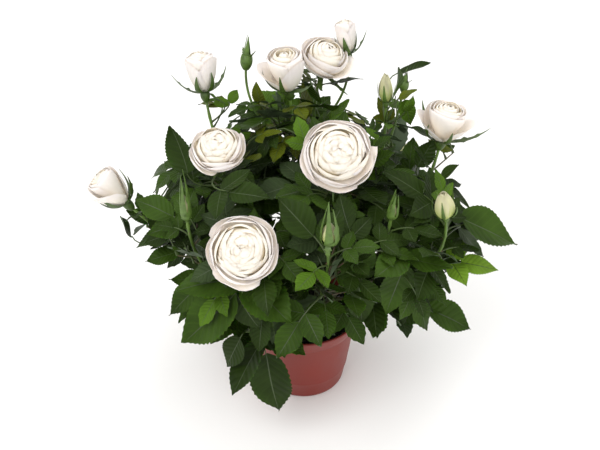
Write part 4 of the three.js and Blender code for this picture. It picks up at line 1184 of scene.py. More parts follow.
def grow_leaves():
    """All leaflets, as one piece for each tint."""
    rng = np.random.default_rng(5)
    plates = {(tint, size): [] for tint in TINTS for size in ROWS}
    for leaf in (leaf for each in growth().shoots for leaf in each["leaves"]):
        tint = tint_of(leaf, rng)
        for plate in leaf["plates"]:
            size = "small" if plate["length"] < SMALL_LEAFLET else "large"
            plates[tint, "shown" if leaf["tint"] else size].append(plate)
    for tint, (name, *_) in TINTS.items():
        batch = Batch()
        for size, rows in ROWS.items():
            shape = sheet_shape(3, rows, True)
            if plates[tint, size]:
                batch.add(shape, leaflet_points(shape, rows, plates[tint, size], rng))
        batch.finish(name, (tint, "rib", "under"), "foliage", *named("foliage_"))


# Limbs

GREEN, PRICKLE, FLUSHED = range(3)
BARK_FURROWS = (2, 3, 5, 7)  # how many furrows each wave of the bark has round a limb
BARK_NODES = 5
NODE_SWELL = 0.35
NODE_SPREAD = 0.02  # of the limb's length
FLARE_STEEPNESS = 8  # how much faster than the limb its flare at the foot runs out
BOUGH_FLARE = 0.5
BOUGH_RELIEF = 0.12
STEM_RELIEF = 0.05
STEM_TOP_RADIUS = 1.1  # of a stem that branches from another
TWIG_RADII = (1.0, 0.7)
FINE_TWIG_RADII = (0.8, 0.5)
CANE_SUNK = 1.5  # how far a cane's foot is in the peat
CANE_OVERRUN = 1.2  # how far a cane's tip goes on into its bough
STEM_OVERLAP = 0.6  # how far a stem starts inside its bough
PRICKLE_TIP = 0.05
PRICKLE_LEAN = 0.45
PRICKLE_HALF_WIDTHS = (0.75, 0.4)  # along the limb and across it
PRICKLE_LENGTHS = (0.6, 1.1)  # of the usual prickle
PRICKLE_SHARES = (0.08, 0.95)  # of a limb, between which they stand
PRICKLE_DEPTH = 0.85  # how far from the limb's middle a prickle starts, of the limb's radius
PRICKLE_SLANT = 0.4  # how much its flat base slants
CANE_PRICKLES, BOUGH_PRICKLES, STEM_PRICKLES = 7, 4, 3
STIPULE = 2.2  # how far a stipule stands out from the stalk, in the stalk's radii
STIPULE_RUN = 0.16  # how far up the stalk it goes, of the stalk's length


def bark_radius(foot, tip, relief, seed, flare=0.0):
    """How thick a barked limb is along and round it: tapered, furrowed, and swollen at its nodes."""
    rng = np.random.default_rng(seed)
    waves = [(n, rng.uniform(2, 9), rng.uniform(0, 7), rng.uniform(0, 7)) for n in BARK_FURROWS]
    nodes = rng.uniform(0.1, 0.95, BARK_NODES)

    def radius_at(share, angle):
        radius = foot + (tip - foot) * share + flare * np.clip(1 - share * FLARE_STEEPNESS, 0, 1)
        for n, along, first, second in waves:
            sway = np.sin(along * share * 3 + second) * 1.5
            radius = radius + relief / 2 * np.sin(n * angle + first + sway)
        for node in nodes:
            radius = radius + NODE_SWELL * np.exp(-(((share - node) / NODE_SPREAD) ** 2))
        return radius

    return radius_at


def add_prickles(batch, curve, radius, count, rng):
    """Prickles on a limb: flat based, and leaning a little towards its foot."""
    shape = tube_shape(6, 1, PRICKLE_TIP)
    for share in rng.uniform(*PRICKLE_SHARES, count):
        axis = curve.tangent(share)
        out = turned(side_of(axis, STEEP), axis, rng.uniform(0, 2 * math.pi))
        heading = unit(out - axis * PRICKLE_LEAN)
        wide = unit(axis + heading * PRICKLE_SLANT)
        length = sizes().prickle_length / MM * rng.uniform(*PRICKLE_LENGTHS)
        axes = np.array([wide, unit(np.cross(heading, wide)), heading])
        foot = curve.point(share) + out * radius * PRICKLE_DEPTH
        batch.add(shape, foot + shape.flat * (*PRICKLE_HALF_WIDTHS, length) @ axes, PRICKLE)


def grow_canes():
    """The canes with their prickles, a piece each."""
    rng = np.random.default_rng(31)
    shape = tube_shape(16, 48)
    relief = sizes().bark_relief / MM
    for index, (name, curve) in enumerate(growth().canes.items()):
        batch = Batch()
        radius_at = bark_radius(CANE_FOOT_RADIUS, CANE_TIP_RADIUS, relief, index, ROOT_FLARE)
        end = curve.end + curve.tangent(1) * CANE_OVERRUN
        whole = Arc(curve.start - UP * CANE_SUNK, curve.control, end)
        batch.add(shape, tube_points(shape, whole, radius_at))
        add_prickles(batch, curve, CANE_TIP_RADIUS + 0.6, CANE_PRICKLES, rng)
        batch.finish(f"cane_{name}_bark", ("bark", "prickle"), "cane_bark", f"cane_{name}")


def grow_boughs():
    """The boughs with their prickles, as one piece."""
    rng = np.random.default_rng(37)
    batch = Batch()
    shape = tube_shape(12, 22)
    for each in growth().shoots:
        seed = each["spec"]["seed"]
        radius_at = bark_radius(BOUGH_FOOT_RADIUS, BOUGH_TIP_RADIUS, BOUGH_RELIEF, seed, BOUGH_FLARE)
        batch.add(shape, tube_points(shape, each["bough"], radius_at))
        add_prickles(batch, each["bough"], BOUGH_TIP_RADIUS, BOUGH_PRICKLES, rng)
    batch.finish("boughs_green_bark", ("twig", "prickle"), "green_bark", *named("bough_"))


def grow_stems():
    """The stems that end in flowers, their side twigs, and the fine twigs that carry on from them."""
    rng = np.random.default_rng(41)
    batch = Batch()
    stem, twig = tube_shape(9, 20), tube_shape(7, 5)
    thinner = (
        ("branches", stem, (STEM_TIP_RADIUS, STEM_TOP_RADIUS), GREEN),
        ("twigs", twig, TWIG_RADII, FLUSHED),
        ("fine_twigs", twig, FINE_TWIG_RADII, FLUSHED),
    )
    for each in growth().shoots:
        main = each["stem"]
        radius_at = bark_radius(BOUGH_TIP_RADIUS, STEM_TIP_RADIUS, STEM_RELIEF, each["spec"]["seed"] + 100)
        joined = Arc(main.start - main.tangent(0) * STEM_OVERLAP, main.control, main.end)
        batch.add(stem, tube_points(stem, joined, radius_at), GREEN)
        add_prickles(batch, main, STEM_TIP_RADIUS, STEM_PRICKLES, rng)
        for key, shape, radii, slot in thinner:
            for curve in each[key]:
                batch.add(shape, tube_points(shape, curve, taper(*radii)), slot)
    batch.finish("green_stems", ("stem", "prickle", "twig"), "green_bark", *named("foliage_"))


def grow_stalks():
    """The stalk of each compound leaf, winged at its foot by the pair of stipules."""
    batch = Batch()
    shape = tube_shape(6, 6)
    radius = sizes().stalk_radius / MM

    def winged(share, angle):
        wing = STIPULE * np.exp(-((share / STIPULE_RUN) ** 2)) * np.cos(angle) ** 4
        return radius * (1.4 - 0.4 * share + wing)

    for leaf in (leaf for each in growth().shoots for leaf in each["leaves"]):
        batch.add(shape, tube_points(shape, leaf["stalk"], winged))
    batch.finish("leaf_stalks", ("stalk",), "green_bark", *named("foliage_"))


# Flowers. Lengths along a flower's axis are in shares of its height, and those out from it in shares of
# its radius. A wide open flower's height is its radius.


class Ring(typing.NamedTuple):
    """One ring of petals: how far out and up they end, the bend on the way there, and their width."""

    count: int
    reach: float
    rise: float
    belly: float
    belly_rise: float
    width: float
    roll: float = 0.0
    ruffle: float = 0.01


def layered(top, fall, run, *rows):
    """Rings whose rims lie on a dome, each ring coming out from under the rim of the one around it."""
    rings = []
    for count, reach, width, roll, ruffle in rows:
        rise, slope = top - fall * reach**2, -2 * fall * reach
        step = run / math.hypot(1, slope)
        rings.append(Ring(count, reach, rise, reach + step, rise + slope * step, width, roll, ruffle))
    return rings


RINGS = {
    "open": layered(
        0.36,
        0.6,
        0.56,
        (5, 0.86, 1.5, 0.12, 0.05),
        (5, 0.77, 1.45, 0.09, 0.05),
        (5, 0.67, 1.4, 0.07, 0.04),
        (5, 0.56, 1.3, 0.05, 0.04),
        (5, 0.45, 1.2, 0.04, 0.04),
        (4, 0.34, 1.1, 0.03, 0.03),
        (4, 0.24, 0.95, 0.03, 0.03),
        (3, 0.15, 0.85, 0.02, 0.03),
        (3, 0.07, 0.7, 0.0, 0.02),
        (3, 0.0, 0.5, 0.0, 0.01),
    ),
    "half": layered(
        0.48,
        0.42,
        0.46,
        (3, 0.86, 2.0, 0.1, 0.03),
        (3, 0.75, 1.9, 0.06, 0.03),
        (3, 0.63, 1.8, 0.06, 0.03),
        (3, 0.5, 1.6, 0.05, 0.03),
        (3, 0.38, 1.4, 0.04, 0.03),
        (3, 0.25, 1.1, 0.03, 0.02),
        (3, 0.12, 0.9, 0.0, 0.02),
        (2, 0.0, 0.5, 0.0, 0.01),
    ),
    "goblet": [
        Ring(3, 0.86, 0.42, 0.96, -0.22, 2.0, 0.1, 0.02),
        *layered(
            0.5,
            0.1,
            0.36,
            (3, 0.7, 1.9, 0.05, 0.03),
            (3, 0.55, 1.7, 0.05, 0.03),
            (3, 0.4, 1.5, 0.05, 0.03),
            (3, 0.26, 1.2, 0.04, 0.02),
            (3, 0.12, 0.9, 0.0, 0.02),
            (2, 0.0, 0.5, 0.0, 0.01),
        ),
    ],
    "bud": [
        Ring(3, 0.3, 0.44, 1.45, -0.28, 2.1, 0.06),
        Ring(3, 0.18, 0.49, 1.3, -0.26, 1.7, 0.02),
        Ring(2, 0.07, 0.5, 0.9, -0.22, 1.1, 0.0, 0.0),
    ],
    "green": [
        Ring(3, 0.1, 0.28, 1.3, -0.34, 1.8, 0.0, 0.0),
        Ring(2, 0.05, 0.28, 1.0, -0.3, 1.1, 0.0, 0.0),
    ],
}
PETAL_FOOT = {
    "open": (0.1, -0.5),
    "half": (0.14, -0.5),
    "goblet": (0.2, -0.5),
    "bud": (0.3, -0.48),
    "green": (0.3, -0.46),
    "shut": (0.3, -0.46),
}
YOUNG_KINDS = ("bud", "green", "shut")
PETAL_GRID = 9
PETAL_STEP = 1e-3  # between the points that a petal's lie is told from
WHITE, WARM, YOUNG = range(3)
# The warmer colour of the inner rings is partly their own tint and partly painted warm shade deep in the
# flower.
OUTER_RINGS = 3  # rings of white petals, inside which they are warmer
FLARE = {"reach": 0.34, "rise": -0.16}  # how far a petal that falls open moves
PETAL_SIZES = (0.93, 1.07)  # of a ring's usual petal
PETAL_LIFTS = (-0.02, 0.02)  # how far chance lifts one, of the flower's height
PETAL_TURNS = (-0.12, 0.12)  # and turns it about the axis
PETAL_WAVES = (3, 6)  # how many radians of a wave run across its ruffled rim
PETAL_LEANS = (-0.03, 0.03)  # how far it leans out, of the flower's radius
PETAL_CORNERS = (0.2, 0.36)  # how much shorter its corners are than its middle
CORNER_POWER = 2.3  # how late a petal's corners round off on the way to its sides
ROLL_FROM = 0.62  # where a petal's tip begins to roll back, of its length
FOOT_WIDTH = 0.22  # how wide a petal's foot is, of its width
WIDEST_AT = 0.7  # and where it has its full width, of its length
ROLL_DROP = 0.9  # how far the rolled tip goes down, of how far it goes out
RUFFLE_OUT = 0.6  # and how far a ruffle goes out, of how far it goes up
LEAST_WRAP = 0.3  # the tightest that a petal wraps round the axis, of its width
SKEW = (0.05, 0.04)  # how much further out and lower one side of a petal lies than the other


def flower_frame(each):
    """Directions across, over and along a flower's axis, as rows. The first is as far east as can be."""
    facing = each["facing"]
    side = square_to(EAST, facing)
    return np.array([side, np.cross(facing, side), facing])


def petal_places(across, along, petals, tall, radius, foot):
    """A point on each petal in its flower's own frame, with the petal's width wrapped round the axis."""
    t = along * (1 - petals["corners"] * abs(across) ** CORNER_POWER)
    one, two, three = (1 - t) ** 2, 2 * t * (1 - t), t**2
    rolled = petals["roll"] * radius * np.clip((t - ROLL_FROM) / (1 - ROLL_FROM), 0, 1) ** 2
    ruffle = petals["ruffle"] * radius * along**2 * np.sin(across * petals["waves"] + petals["phase"])
    out = (one * foot[0] + two * petals["belly"] + three * petals["reach"]) * radius + rolled
    up = (one * foot[1] + two * petals["belly_rise"] + three * petals["rise"]) * tall
    up = up - rolled * ROLL_DROP * (0.5 + abs(across)) + ruffle - SKEW[1] * radius * across * along
    swing = np.sin(np.pi / 2 * np.clip(along / WIDEST_AT, 0, 1)) ** 0.8
    half = petals["width"] * radius / 2 * (FOOT_WIDTH + (1 - FOOT_WIDTH) * swing)
    angle = petals["turn"] + across * half / np.maximum(out, LEAST_WRAP * petals["width"] * radius)
    out = out * (1 + SKEW[0] * across) + ruffle * RUFFLE_OUT + petals["lean"] * radius * along
    return np.stack([out * np.cos(angle), out * np.sin(angle), up], -1)


def petals_of(row, turn, flares, rng):
    """The measures of one ring's petals, with small chances. A petal in a flare's direction falls open."""

    def draw(low, high):
        return rng.uniform(low, high, (row.count, 1))

    keys = ("belly", "reach", "width", "ruffle", "roll")
    petals = {key: getattr(row, key) * draw(*PETAL_SIZES) for key in keys}
    petals["rise"] = row.rise + draw(*PETAL_LIFTS)
    petals["belly_rise"] = row.belly_rise + draw(*PETAL_LIFTS)
    petals["turn"] = turn + np.arange(row.count)[:, None] * 2 * math.pi / row.count + draw(*PETAL_TURNS)
    petals["waves"] = draw(*PETAL_WAVES)
    petals["phase"] = draw(0, 6)
    petals["lean"] = draw(*PETAL_LEANS)
    petals["corners"] = draw(*PETAL_CORNERS) * min(1, 0.1 + 2 * row.reach)
    for flare in flares:
        nearest = np.cos(petals["turn"] - math.radians(flare)).argmax()
        petals["turn"][nearest] = math.radians(flare)
        petals["reach"][nearest] += FLARE["reach"]
        petals["rise"][nearest] += FLARE["rise"]
    return petals


def add_petals(batch, each, rng):
    """All rings of one flower's petals, each petal a thin closed sheet."""
    kind = each["kind"]
    shape = sheet_shape(PETAL_GRID, PETAL_GRID)
    across, along, through = shape.flat.T
    thickness = ((through - 0.5) * sizes().petal_thickness / MM)[:, None]
    turn = rng.uniform(0, 2 * math.pi)
    for number, row in enumerate(RINGS[kind]):
        flares = each["flares"] if number == 0 and kind != "green" else ()
        measures = (petals_of(row, turn, flares, rng), each["height"], each["width"] / 2, PETAL_FOOT[kind])
        turn += GOLDEN_ANGLE
        beside = petal_places(across + PETAL_STEP, along, *measures)
        beside = beside - petal_places(across - PETAL_STEP, along, *measures)
        ahead = petal_places(across, along + PETAL_STEP, *measures)
        ahead = ahead - petal_places(across, along - PETAL_STEP, *measures)
        places = petal_places(across, along, *measures) + unit(np.cross(beside, ahead)) * thickness
        grown = WHITE if number < OUTER_RINGS else WARM
        batch.add(shape, each["at"] + places @ flower_frame(each), YOUNG if kind in YOUNG_KINDS else grown)


def grow_blossom(name, *kinds):
    """The petals of all flowers of some kinds, as one piece."""
    rng = np.random.default_rng(len(name))
    batch = Batch()
    for each in FLOWERS.values():
        if each["kind"] in kinds:
            add_petals(batch, each, rng)
    batch.finish(name, ("petal_white", "petal_warm", "petal_young"), "petals", *named("foliage_"))


SEPAL_ROWS = 14
SEPALS = 5
SEPAL_TIP = 0.3  # half the width of a sepal's thread-like tip
SEPAL_THICKNESS = 0.4
SEPAL_TOOTH = 1.9  # how much wider a sepal is at a lobe of its fringe
FRINGE_FROM = 0.25  # where its fringe begins, of its length
FULL_SEPALS = 30  # sepals have their full width under flowers from half as wide as this on
SEPAL_LENGTHS = (0.75, 1.2)  # of the usual sepal
SEPAL_SWAY = (-0.15, 0.15)  # in radians round the flower, and at the tip in shares of its radius
SEPAL_FOOT = (0.55, 0.1)  # how far out and down a sepal starts, of the urn's radius
OLD_CALYX, YOUNG_CALYX = range(2)
URN_RADII = (2.2, 4.6)
URN_GROWTH = (1.1, 0.11)  # its radius under no flower at all, and how much more for each millimetre of width
URN_CUT = (0.12, 0.62)  # where its round outline starts, and how much of it there is, in half turns
URN_RIM = 0.86  # the share of its height that is under the flower's foot
URN_HEIGHT = 2.4  # in its own radii
SHUT_URN = 0.46  # half the width of the round urn of a bud that shows no petal, of the bud's width
SHUT_URN_RISE = 1.7  # how far up it sits, in its own half widths

# Sepals by the kind of flower: half their width, how late they narrow, and by turns how far out and up each
# bends and how far out and up it ends
SEPAL_SHAPES = {
    "open": (2.4, 1.5, ((0.5, -0.62), (0.95, -0.8)), ((0.4, -0.7), (0.7, -1.0))),
    "half": (2.2, 1.8, ((1.1, -0.62), (1.5, -0.3)), ((0.8, -0.7), (1.25, -0.7))),
    "goblet": (3.0, 2.4, ((1.05, -0.42), (0.98, 0.1)), ((1.1, -0.5), (1.75, 0.1))),
    "bud": (1.9, 1.8, ((1.35, -0.4), (0.95, 0.3)), ((1.35, -0.4), (1.5, 0.2))),
    "green": (4.5, 1.6, ((1.8, -0.72), (0.08, 0.94)), ((1.8, -0.72), (0.35, 0.86))),
    "shut": (1.9, 2.0, ((0.45, -0.2), (0.12, 0.25)), ((0.9, -0.36), (1.4, -0.16))),
}
HANGING_SEPAL = ((1.3, -0.5), (1.1, -1.0))


def add_urn(batch, seat, axes, slot, urn_radius):
    """The round urn that holds a flower, with its rim at the seat."""
    urn = tube_shape(10, 7)
    share = urn.flat[:, 2:]
    profile = np.sin(np.pi * (URN_CUT[0] + URN_CUT[1] * share)) ** 0.8
    places = urn_radius * np.hstack([urn.flat[:, :2] * profile, (share - URN_RIM) * URN_HEIGHT])
    batch.add(urn, seat + places @ axes, slot)


def add_calyx(batch, each, rng):
    """The urn under a flower and its five sepals, long tipped and fringed."""
    kind, tall, radius = each["kind"], each["height"], each["width"] / 2
    foot_up = PETAL_FOOT[kind][1]
    axes = flower_frame(each)
    seat = each["at"] + each["facing"] * (foot_up * tall)
    slot = YOUNG_CALYX if kind in YOUNG_KINDS else OLD_CALYX
    urn_radius = float(np.clip(URN_GROWTH[0] + URN_GROWTH[1] * each["width"], *URN_RADII))
    if kind == "shut":
        urn_radius = SHUT_URN * each["width"]
        seat = seat + each["facing"] * urn_radius * SHUT_URN_RISE
    add_urn(batch, seat, axes, slot, urn_radius)
    strip = sheet_shape(4, SEPAL_ROWS)
    across, along, through = strip.flat.T
    half_width, narrowing, *runs = SEPAL_SHAPES[kind]
    first = math.radians(each["first_sepal"])
    turns = [first + 2 * math.pi * number / SEPALS + rng.uniform(*SEPAL_SWAY) for number in range(SEPALS)]
    hanging = [math.radians(flare) for flare in each["flares"] if kind == "green"]
    for number, turn in enumerate(turns + hanging):
        hangs = number >= SEPALS
        out = place(math.cos(turn), math.sin(turn), 0)
        beside = place(-math.sin(turn), math.cos(turn), 0)
        bend, end = (
            out * reach * radius + UP * (rise - foot_up) * tall
            for reach, rise in (HANGING_SEPAL if hangs else runs[number % 2])
        )
        start = (out * SEPAL_FOOT[0] - UP * SEPAL_FOOT[1]) * urn_radius
        end = start + (end - start) * rng.uniform(*SEPAL_LENGTHS)
        curve = Arc(start, bend, end + beside * rng.uniform(*SEPAL_SWAY) * radius)
        face = unit(np.cross(beside, curve.tangent(along)))
        toothed = (np.rint(along * SEPAL_ROWS) % 4 == 2) & (along > FRINGE_FROM) & (number % 2 == 1)
        full = half_width * min(1, 0.5 + each["width"] / FULL_SEPALS) * (0.5 if hangs else 1)
        half = full * (1 - along**narrowing) * np.where(toothed, SEPAL_TOOTH, 1) + SEPAL_TIP
        hollow = np.minimum(half**2 / (2 * radius), half) * across**2
        places = curve.point(along) + beside * (across * half)[:, None]
        places = places + face * ((through - 0.5) * SEPAL_THICKNESS - hollow)[:, None]
        batch.add(strip, seat + places @ axes, slot)


def grow_calyxes():
    """The sepals and urns of all flowers, as one piece."""
    rng = np.random.default_rng(61)
    batch = Batch()
    for each in FLOWERS.values():
        add_calyx(batch, each, rng)
    batch.finish("sepals_and_urns", ("calyx", "young_calyx"), "foliage", *named("foliage_"))


# Pot and peat

POT_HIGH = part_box("pot")[1] / MM
POT_HEIGHT = POT_HIGH.z
RIM_RADIUS = POT_HIGH.x
COLLAR_HEIGHT = 14
BODY_TOP = POT_HEIGHT - COLLAR_HEIGHT
COLLAR_FOOT_RADIUS = 47.4
BODY_TOP_RADIUS = 46.4
BASE_RADIUS = 37
BASE_ROUNDING = 4
BASE_HOLLOW = 1.2  # how far the middle of the underside is above the table
RIM_ROUNDING = 1.2
STEP_HEIGHT = 19
POT_WALL = 1.8
POT_FLOOR = 2.5
TURNING_STEPS = 120
PEAT_RINGS = 26
PEAT_LUMPS = 0.9
CRUMBS = 1500
FIBRES = 120
FIBRE_SHAPE = (2.4, 0.22, 0.22)
CRUMB_SIZES = (0.35, 1.0)  # of the usual crumb
CRUMB_BUMPS = (0.7, 1.25)  # how far its corners stand out, of its half width
CRUMB_RISE = 0.12  # how far it lies above the peat, of its width
PEAT_IN_WALL = 0.2  # how far the peat goes into the pot's wall, so that no gap shows
PEAT_SPREAD = 0.9  # how much wider it is at its top, where the collar is wider too


def arc_points(centre, radius, from_angle, to_angle, count):
    """Points on a round stretch of a profile."""
    angles = np.radians(np.linspace(from_angle, to_angle, count))
    return [(centre[0] + radius * math.cos(a), centre[1] + radius * math.sin(a)) for a in angles]


def body_radius(height):
    """The outside of the pot's body under its collar."""
    return BASE_RADIUS + (BODY_TOP_RADIUS - BASE_RADIUS) * height / BODY_TOP


def make_pot():
    """The pot, turned from the profile of its outside and inside."""
    step = sizes().pot_step / MM
    round_at = body_radius(0) - step - BASE_ROUNDING
    rim_middle = (RIM_RADIUS - RIM_ROUNDING, POT_HEIGHT - RIM_ROUNDING)
    profile = [
        (0, BASE_HOLLOW),
        (round_at - 3, BASE_HOLLOW),
        (round_at - 2, 0),
        *arc_points((round_at, BASE_ROUNDING), BASE_ROUNDING, -90, -8, 8),
        (body_radius(STEP_HEIGHT - 1) - step, STEP_HEIGHT - 1),
        (body_radius(STEP_HEIGHT), STEP_HEIGHT),
        (body_radius(STEP_HEIGHT + 1), STEP_HEIGHT + 1),
        (body_radius(BODY_TOP - 3), BODY_TOP - 3),
        (body_radius(BODY_TOP - 1), BODY_TOP - 1),
        (COLLAR_FOOT_RADIUS - 0.4, BODY_TOP - 0.3),
        (COLLAR_FOOT_RADIUS, BODY_TOP + 0.4),
        (RIM_RADIUS - 1.1, POT_HEIGHT - 4),
        (RIM_RADIUS - 0.9, POT_HEIGHT - 3.4),
        *arc_points(rim_middle, RIM_ROUNDING, -20, 170, 9),
        (RIM_RADIUS - 2.7, POT_HEIGHT - 4),
        (COLLAR_FOOT_RADIUS - POT_WALL, BODY_TOP + 1),
        (BODY_TOP_RADIUS - POT_WALL, BODY_TOP - 1),
        (BASE_RADIUS - POT_WALL, POT_FLOOR),
        (0, POT_FLOOR),
    ]
    mesh = mesh_of(spun(profile, TURNING_STEPS), "plastic_pot")
    add_piece("plastic_pot", mesh, ("pot",), "pot_plastic", "pot")


def peat_height(x, y):
    """The lumpy top of the peat, in millimetres above the table."""
    lumps = np.sin(0.31 * x + 1.1 * np.sin(0.23 * y)) * np.cos(0.27 * y + 0.9 * np.sin(0.19 * x))
    fine = np.sin(1.3 * x + 2.1 * y) * np.sin(1.7 * y - 0.8 * x)
    return float(SOIL_TOP - PEAT_LUMPS + PEAT_LUMPS * lumps + PEAT_LUMPS / 3 * fine)


def make_peat():
    """The lumpy bed of peat, and the crumbs and fibres that lie on it."""
    inside = BODY_TOP_RADIUS - POT_WALL + PEAT_IN_WALL
    rim = inside + PEAT_SPREAD
    top = [(rim * share, SOIL_TOP) for share in np.linspace(0, 1, PEAT_RINGS)]
    under = [(BASE_RADIUS - POT_WALL - 0.3, POT_FLOOR + 0.3), (0, POT_FLOOR + 0.3)]
    bm = spun([*top, (inside, BODY_TOP - 4), *under], TURNING_STEPS)
    for vertex in bm.verts:
        if vertex.co.z > SOIL_TOP - 0.01:
            vertex.co.z = peat_height(vertex.co.x, vertex.co.y)
    add_piece("peat_bed", mesh_of(bm, "peat_bed"), ("peat",), "potting_soil", "soil")
    ball = bmesh.new()
    bmesh.ops.create_icosphere(ball, subdivisions=1, radius=0.5)
    crumb = Shape(ball)
    rng = np.random.default_rng(71)
    batch = Batch()
    for number in range(CRUMBS + FIBRES):
        reach, turn = (rim - 2.0) * math.sqrt(rng.uniform(0, 1)), rng.uniform(0, 2 * math.pi)
        x, y = reach * math.cos(turn), reach * math.sin(turn)
        width = sizes().crumb_size / MM * rng.uniform(*CRUMB_SIZES)
        stretched = FIBRE_SHAPE if number >= CRUMBS else (1, rng.uniform(0.6, 1), rng.uniform(0.5, 0.9))
        spin = rng.uniform(0, 2 * math.pi)
        bumpy = crumb.flat * rng.uniform(*CRUMB_BUMPS, (len(crumb.flat), 1)) * stretched * width
        axes = np.array([turned(axis, UP, spin) for axis in np.eye(3)])
        batch.add(crumb, place(x, y, peat_height(x, y) + width * CRUMB_RISE) + bumpy @ axes)
    batch.finish("peat_crumbs", ("peat",), "potting_soil", "soil")


# Stage: floor, light and camera

FLOOR_SIZE = 4000
WORLD_LIGHT = 0.85
# Each lamp's place, the width of its soft square, in metres, and its power in watts
LAMPS = {
    "key_softbox": ((-0.7, -1.0, 1.5), 1.1, 17),
    "fill_softbox": ((1.2, -0.9, 0.9), 1.2, 7),
    "top_softbox": ((0.2, 0.5, 1.7), 1.0, 7),
}


def set_stage():
    """The floor, the lamps and the camera."""
    scene = bpy.context.scene
    bm = bmesh.new()
    bmesh.ops.create_grid(bm, x_segments=1, y_segments=1, size=FLOOR_SIZE)
    floor = new_object("studio_floor", mesh_of(bm, "studio_floor"))
    floor.data.materials.append(finishes()["floor"])
    scene.world = bpy.data.worlds.new("studio_light")
    scene.world.use_nodes = True
    background = scene.world.node_tree.nodes["Background"].inputs
    background["Color"].default_value = (1, 1, 1, 1)
    background["Strength"].default_value = WORLD_LIGHT
    for name, (at, size, power) in LAMPS.items():
        light = bpy.data.lights.new(name, "AREA")
        light.size = size
        light.energy = power
        lamp = new_object(name, light)
        lamp.location = at
        lamp.rotation_euler = (Vector(CAMERA_AIM) * MM - lamp.location).to_track_quat("-Z", "Y").to_euler()
    lens = bpy.data.cameras.new("camera")
    lens.lens = CAMERA_LENS
    lens.clip_start = 0.05
    scene.camera = new_object("camera", lens)
    scene.camera.location = (CAMERA_AIM + CAMERA_BACK * CAMERA_DISTANCE) * MM
    scene.camera.rotation_euler = (math.pi / 2 - CAMERA_LIFT, 0, 0)
    scene.view_settings.view_transform = "Standard"


# Operators, the panel and the run


class ROSE_OT_stage(bpy.types.Operator):
    """Lays the pale floor and places the soft lights and the camera"""

    bl_idname = "rose.stage"
    bl_label = "Set the Stage"

    def execute(self, context):
        set_stage()
        return {"FINISHED"}


class ROSE_OT_pot(bpy.types.Operator):
    """Turns the plastic pot, with its collar, rim and stepped foot"""

    bl_idname = "rose.pot"
    bl_label = "Turn the Pot"

    def execute(self, context):
        make_pot()
        return {"FINISHED"}


class ROSE_OT_peat(bpy.types.Operator):
    """Fills the pot with lumpy peat, crumbs and fibres"""

    bl_idname = "rose.peat"
    bl_label = "Fill with Peat"

    def execute(self, context):
        make_peat()
        return {"FINISHED"}


class ROSE_OT_canes(bpy.types.Operator):
    """Grows the barked canes from the soil to their forks"""

    bl_idname = "rose.canes"
    bl_label = "Grow the Canes"

    def execute(self, context):
        grow_canes()
        return {"FINISHED"}


class ROSE_OT_boughs(bpy.types.Operator):
    """Grows the green boughs from the canes"""

    bl_idname = "rose.boughs"
    bl_label = "Grow the Boughs"

    def execute(self, context):
        grow_boughs()
        return {"FINISHED"}


class ROSE_OT_stems(bpy.types.Operator):
    """Grows the stems, side twigs and fine twigs"""

    bl_idname = "rose.stems"
    bl_label = "Grow the Stems"

    def execute(self, context):
        grow_stems()
        return {"FINISHED"}


class ROSE_OT_stalks(bpy.types.Operator):
    """Grows the stalks of the compound leaves"""

    bl_idname = "rose.stalks"
    bl_label = "Grow the Leaf Stalks"

    def execute(self, context):
        grow_stalks()
        return {"FINISHED"}


class ROSE_OT_leaves(bpy.types.Operator):
    """Grows the toothed leaflets, joined by their tint"""

    bl_idname = "rose.leaves"
    bl_label = "Grow the Leaves"

    def execute(self, context):
        grow_leaves()
        return {"FINISHED"}


class ROSE_OT_open_blooms(bpy.types.Operator):
    """Grows the petals of the wide open blooms"""

    bl_idname = "rose.open_blooms"
    bl_label = "Open the Blooms"

    def execute(self, context):
        grow_blossom("open_blooms", "open")
        return {"FINISHED"}


class ROSE_OT_half_blooms(bpy.types.Operator):
    """Grows the petals of the half open flowers"""

    bl_idname = "rose.half_blooms"
    bl_label = "Open the Cups"

    def execute(self, context):
        grow_blossom("half_open_blooms", "half", "goblet")
        return {"FINISHED"}


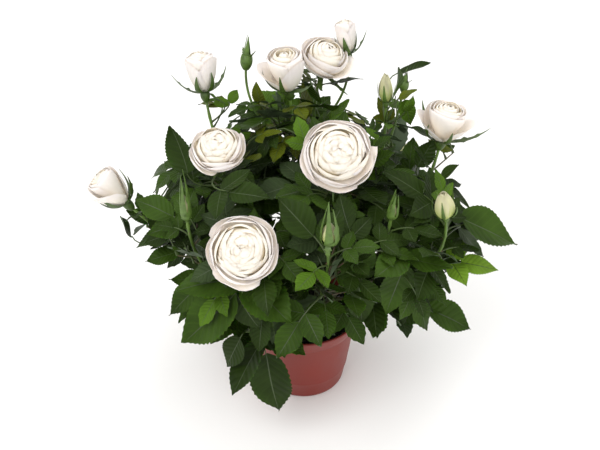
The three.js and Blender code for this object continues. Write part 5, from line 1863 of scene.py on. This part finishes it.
class ROSE_OT_buds(bpy.types.Operator):
    """Grows the petals of the white and the green buds"""

    bl_idname = "rose.buds"
    bl_label = "Set the Buds"

    def execute(self, context):
        grow_blossom("buds", "bud", "green")
        return {"FINISHED"}


class ROSE_OT_calyxes(bpy.types.Operator):
    """Grows the sepals and the urns under the flowers"""

    bl_idname = "rose.calyxes"
    bl_label = "Grow the Sepals"

    def execute(self, context):
        grow_calyxes()
        return {"FINISHED"}


OPERATORS = (
    ROSE_OT_stage,
    ROSE_OT_pot,
    ROSE_OT_peat,
    ROSE_OT_canes,
    ROSE_OT_boughs,
    ROSE_OT_stems,
    ROSE_OT_stalks,
    ROSE_OT_leaves,
    ROSE_OT_open_blooms,
    ROSE_OT_half_blooms,
    ROSE_OT_buds,
    ROSE_OT_calyxes,
)


class ROSE_PT_sidebar(bpy.types.Panel):
    """Lists the sizes, the colours and every step of the plant"""

    bl_label = "Potted Rose"
    bl_idname = "ROSE_PT_sidebar"
    bl_space_type = "VIEW_3D"
    bl_region_type = "UI"
    bl_category = "Potted Rose"

    def draw(self, context):
        for group in (context.scene.rose_sizes, context.scene.rose_colours):
            box = self.layout.box()
            for name in group.__annotations__:
                box.prop(group, name)
        for operator in OPERATORS:
            self.layout.operator(operator.bl_idname)


CLASSES = (RoseSizes, RoseColours, *OPERATORS, ROSE_PT_sidebar)


def register():
    """Makes the settings, the operators and the panel known to Blender."""
    for each in CLASSES:
        bpy.utils.register_class(each)
    bpy.types.Scene.rose_sizes = bpy.props.PointerProperty(type=RoseSizes)
    bpy.types.Scene.rose_colours = bpy.props.PointerProperty(type=RoseColours)


def unregister():
    """Takes them away again."""
    del bpy.types.Scene.rose_sizes
    del bpy.types.Scene.rose_colours
    for each in reversed(CLASSES):
        bpy.utils.unregister_class(each)


def main():
    """Builds every piece."""
    register()
    for operator in OPERATORS:
        group, name = operator.bl_idname.split(".")
        getattr(getattr(bpy.ops, group), name)()
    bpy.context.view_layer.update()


if __name__ == "__main__":
    main()
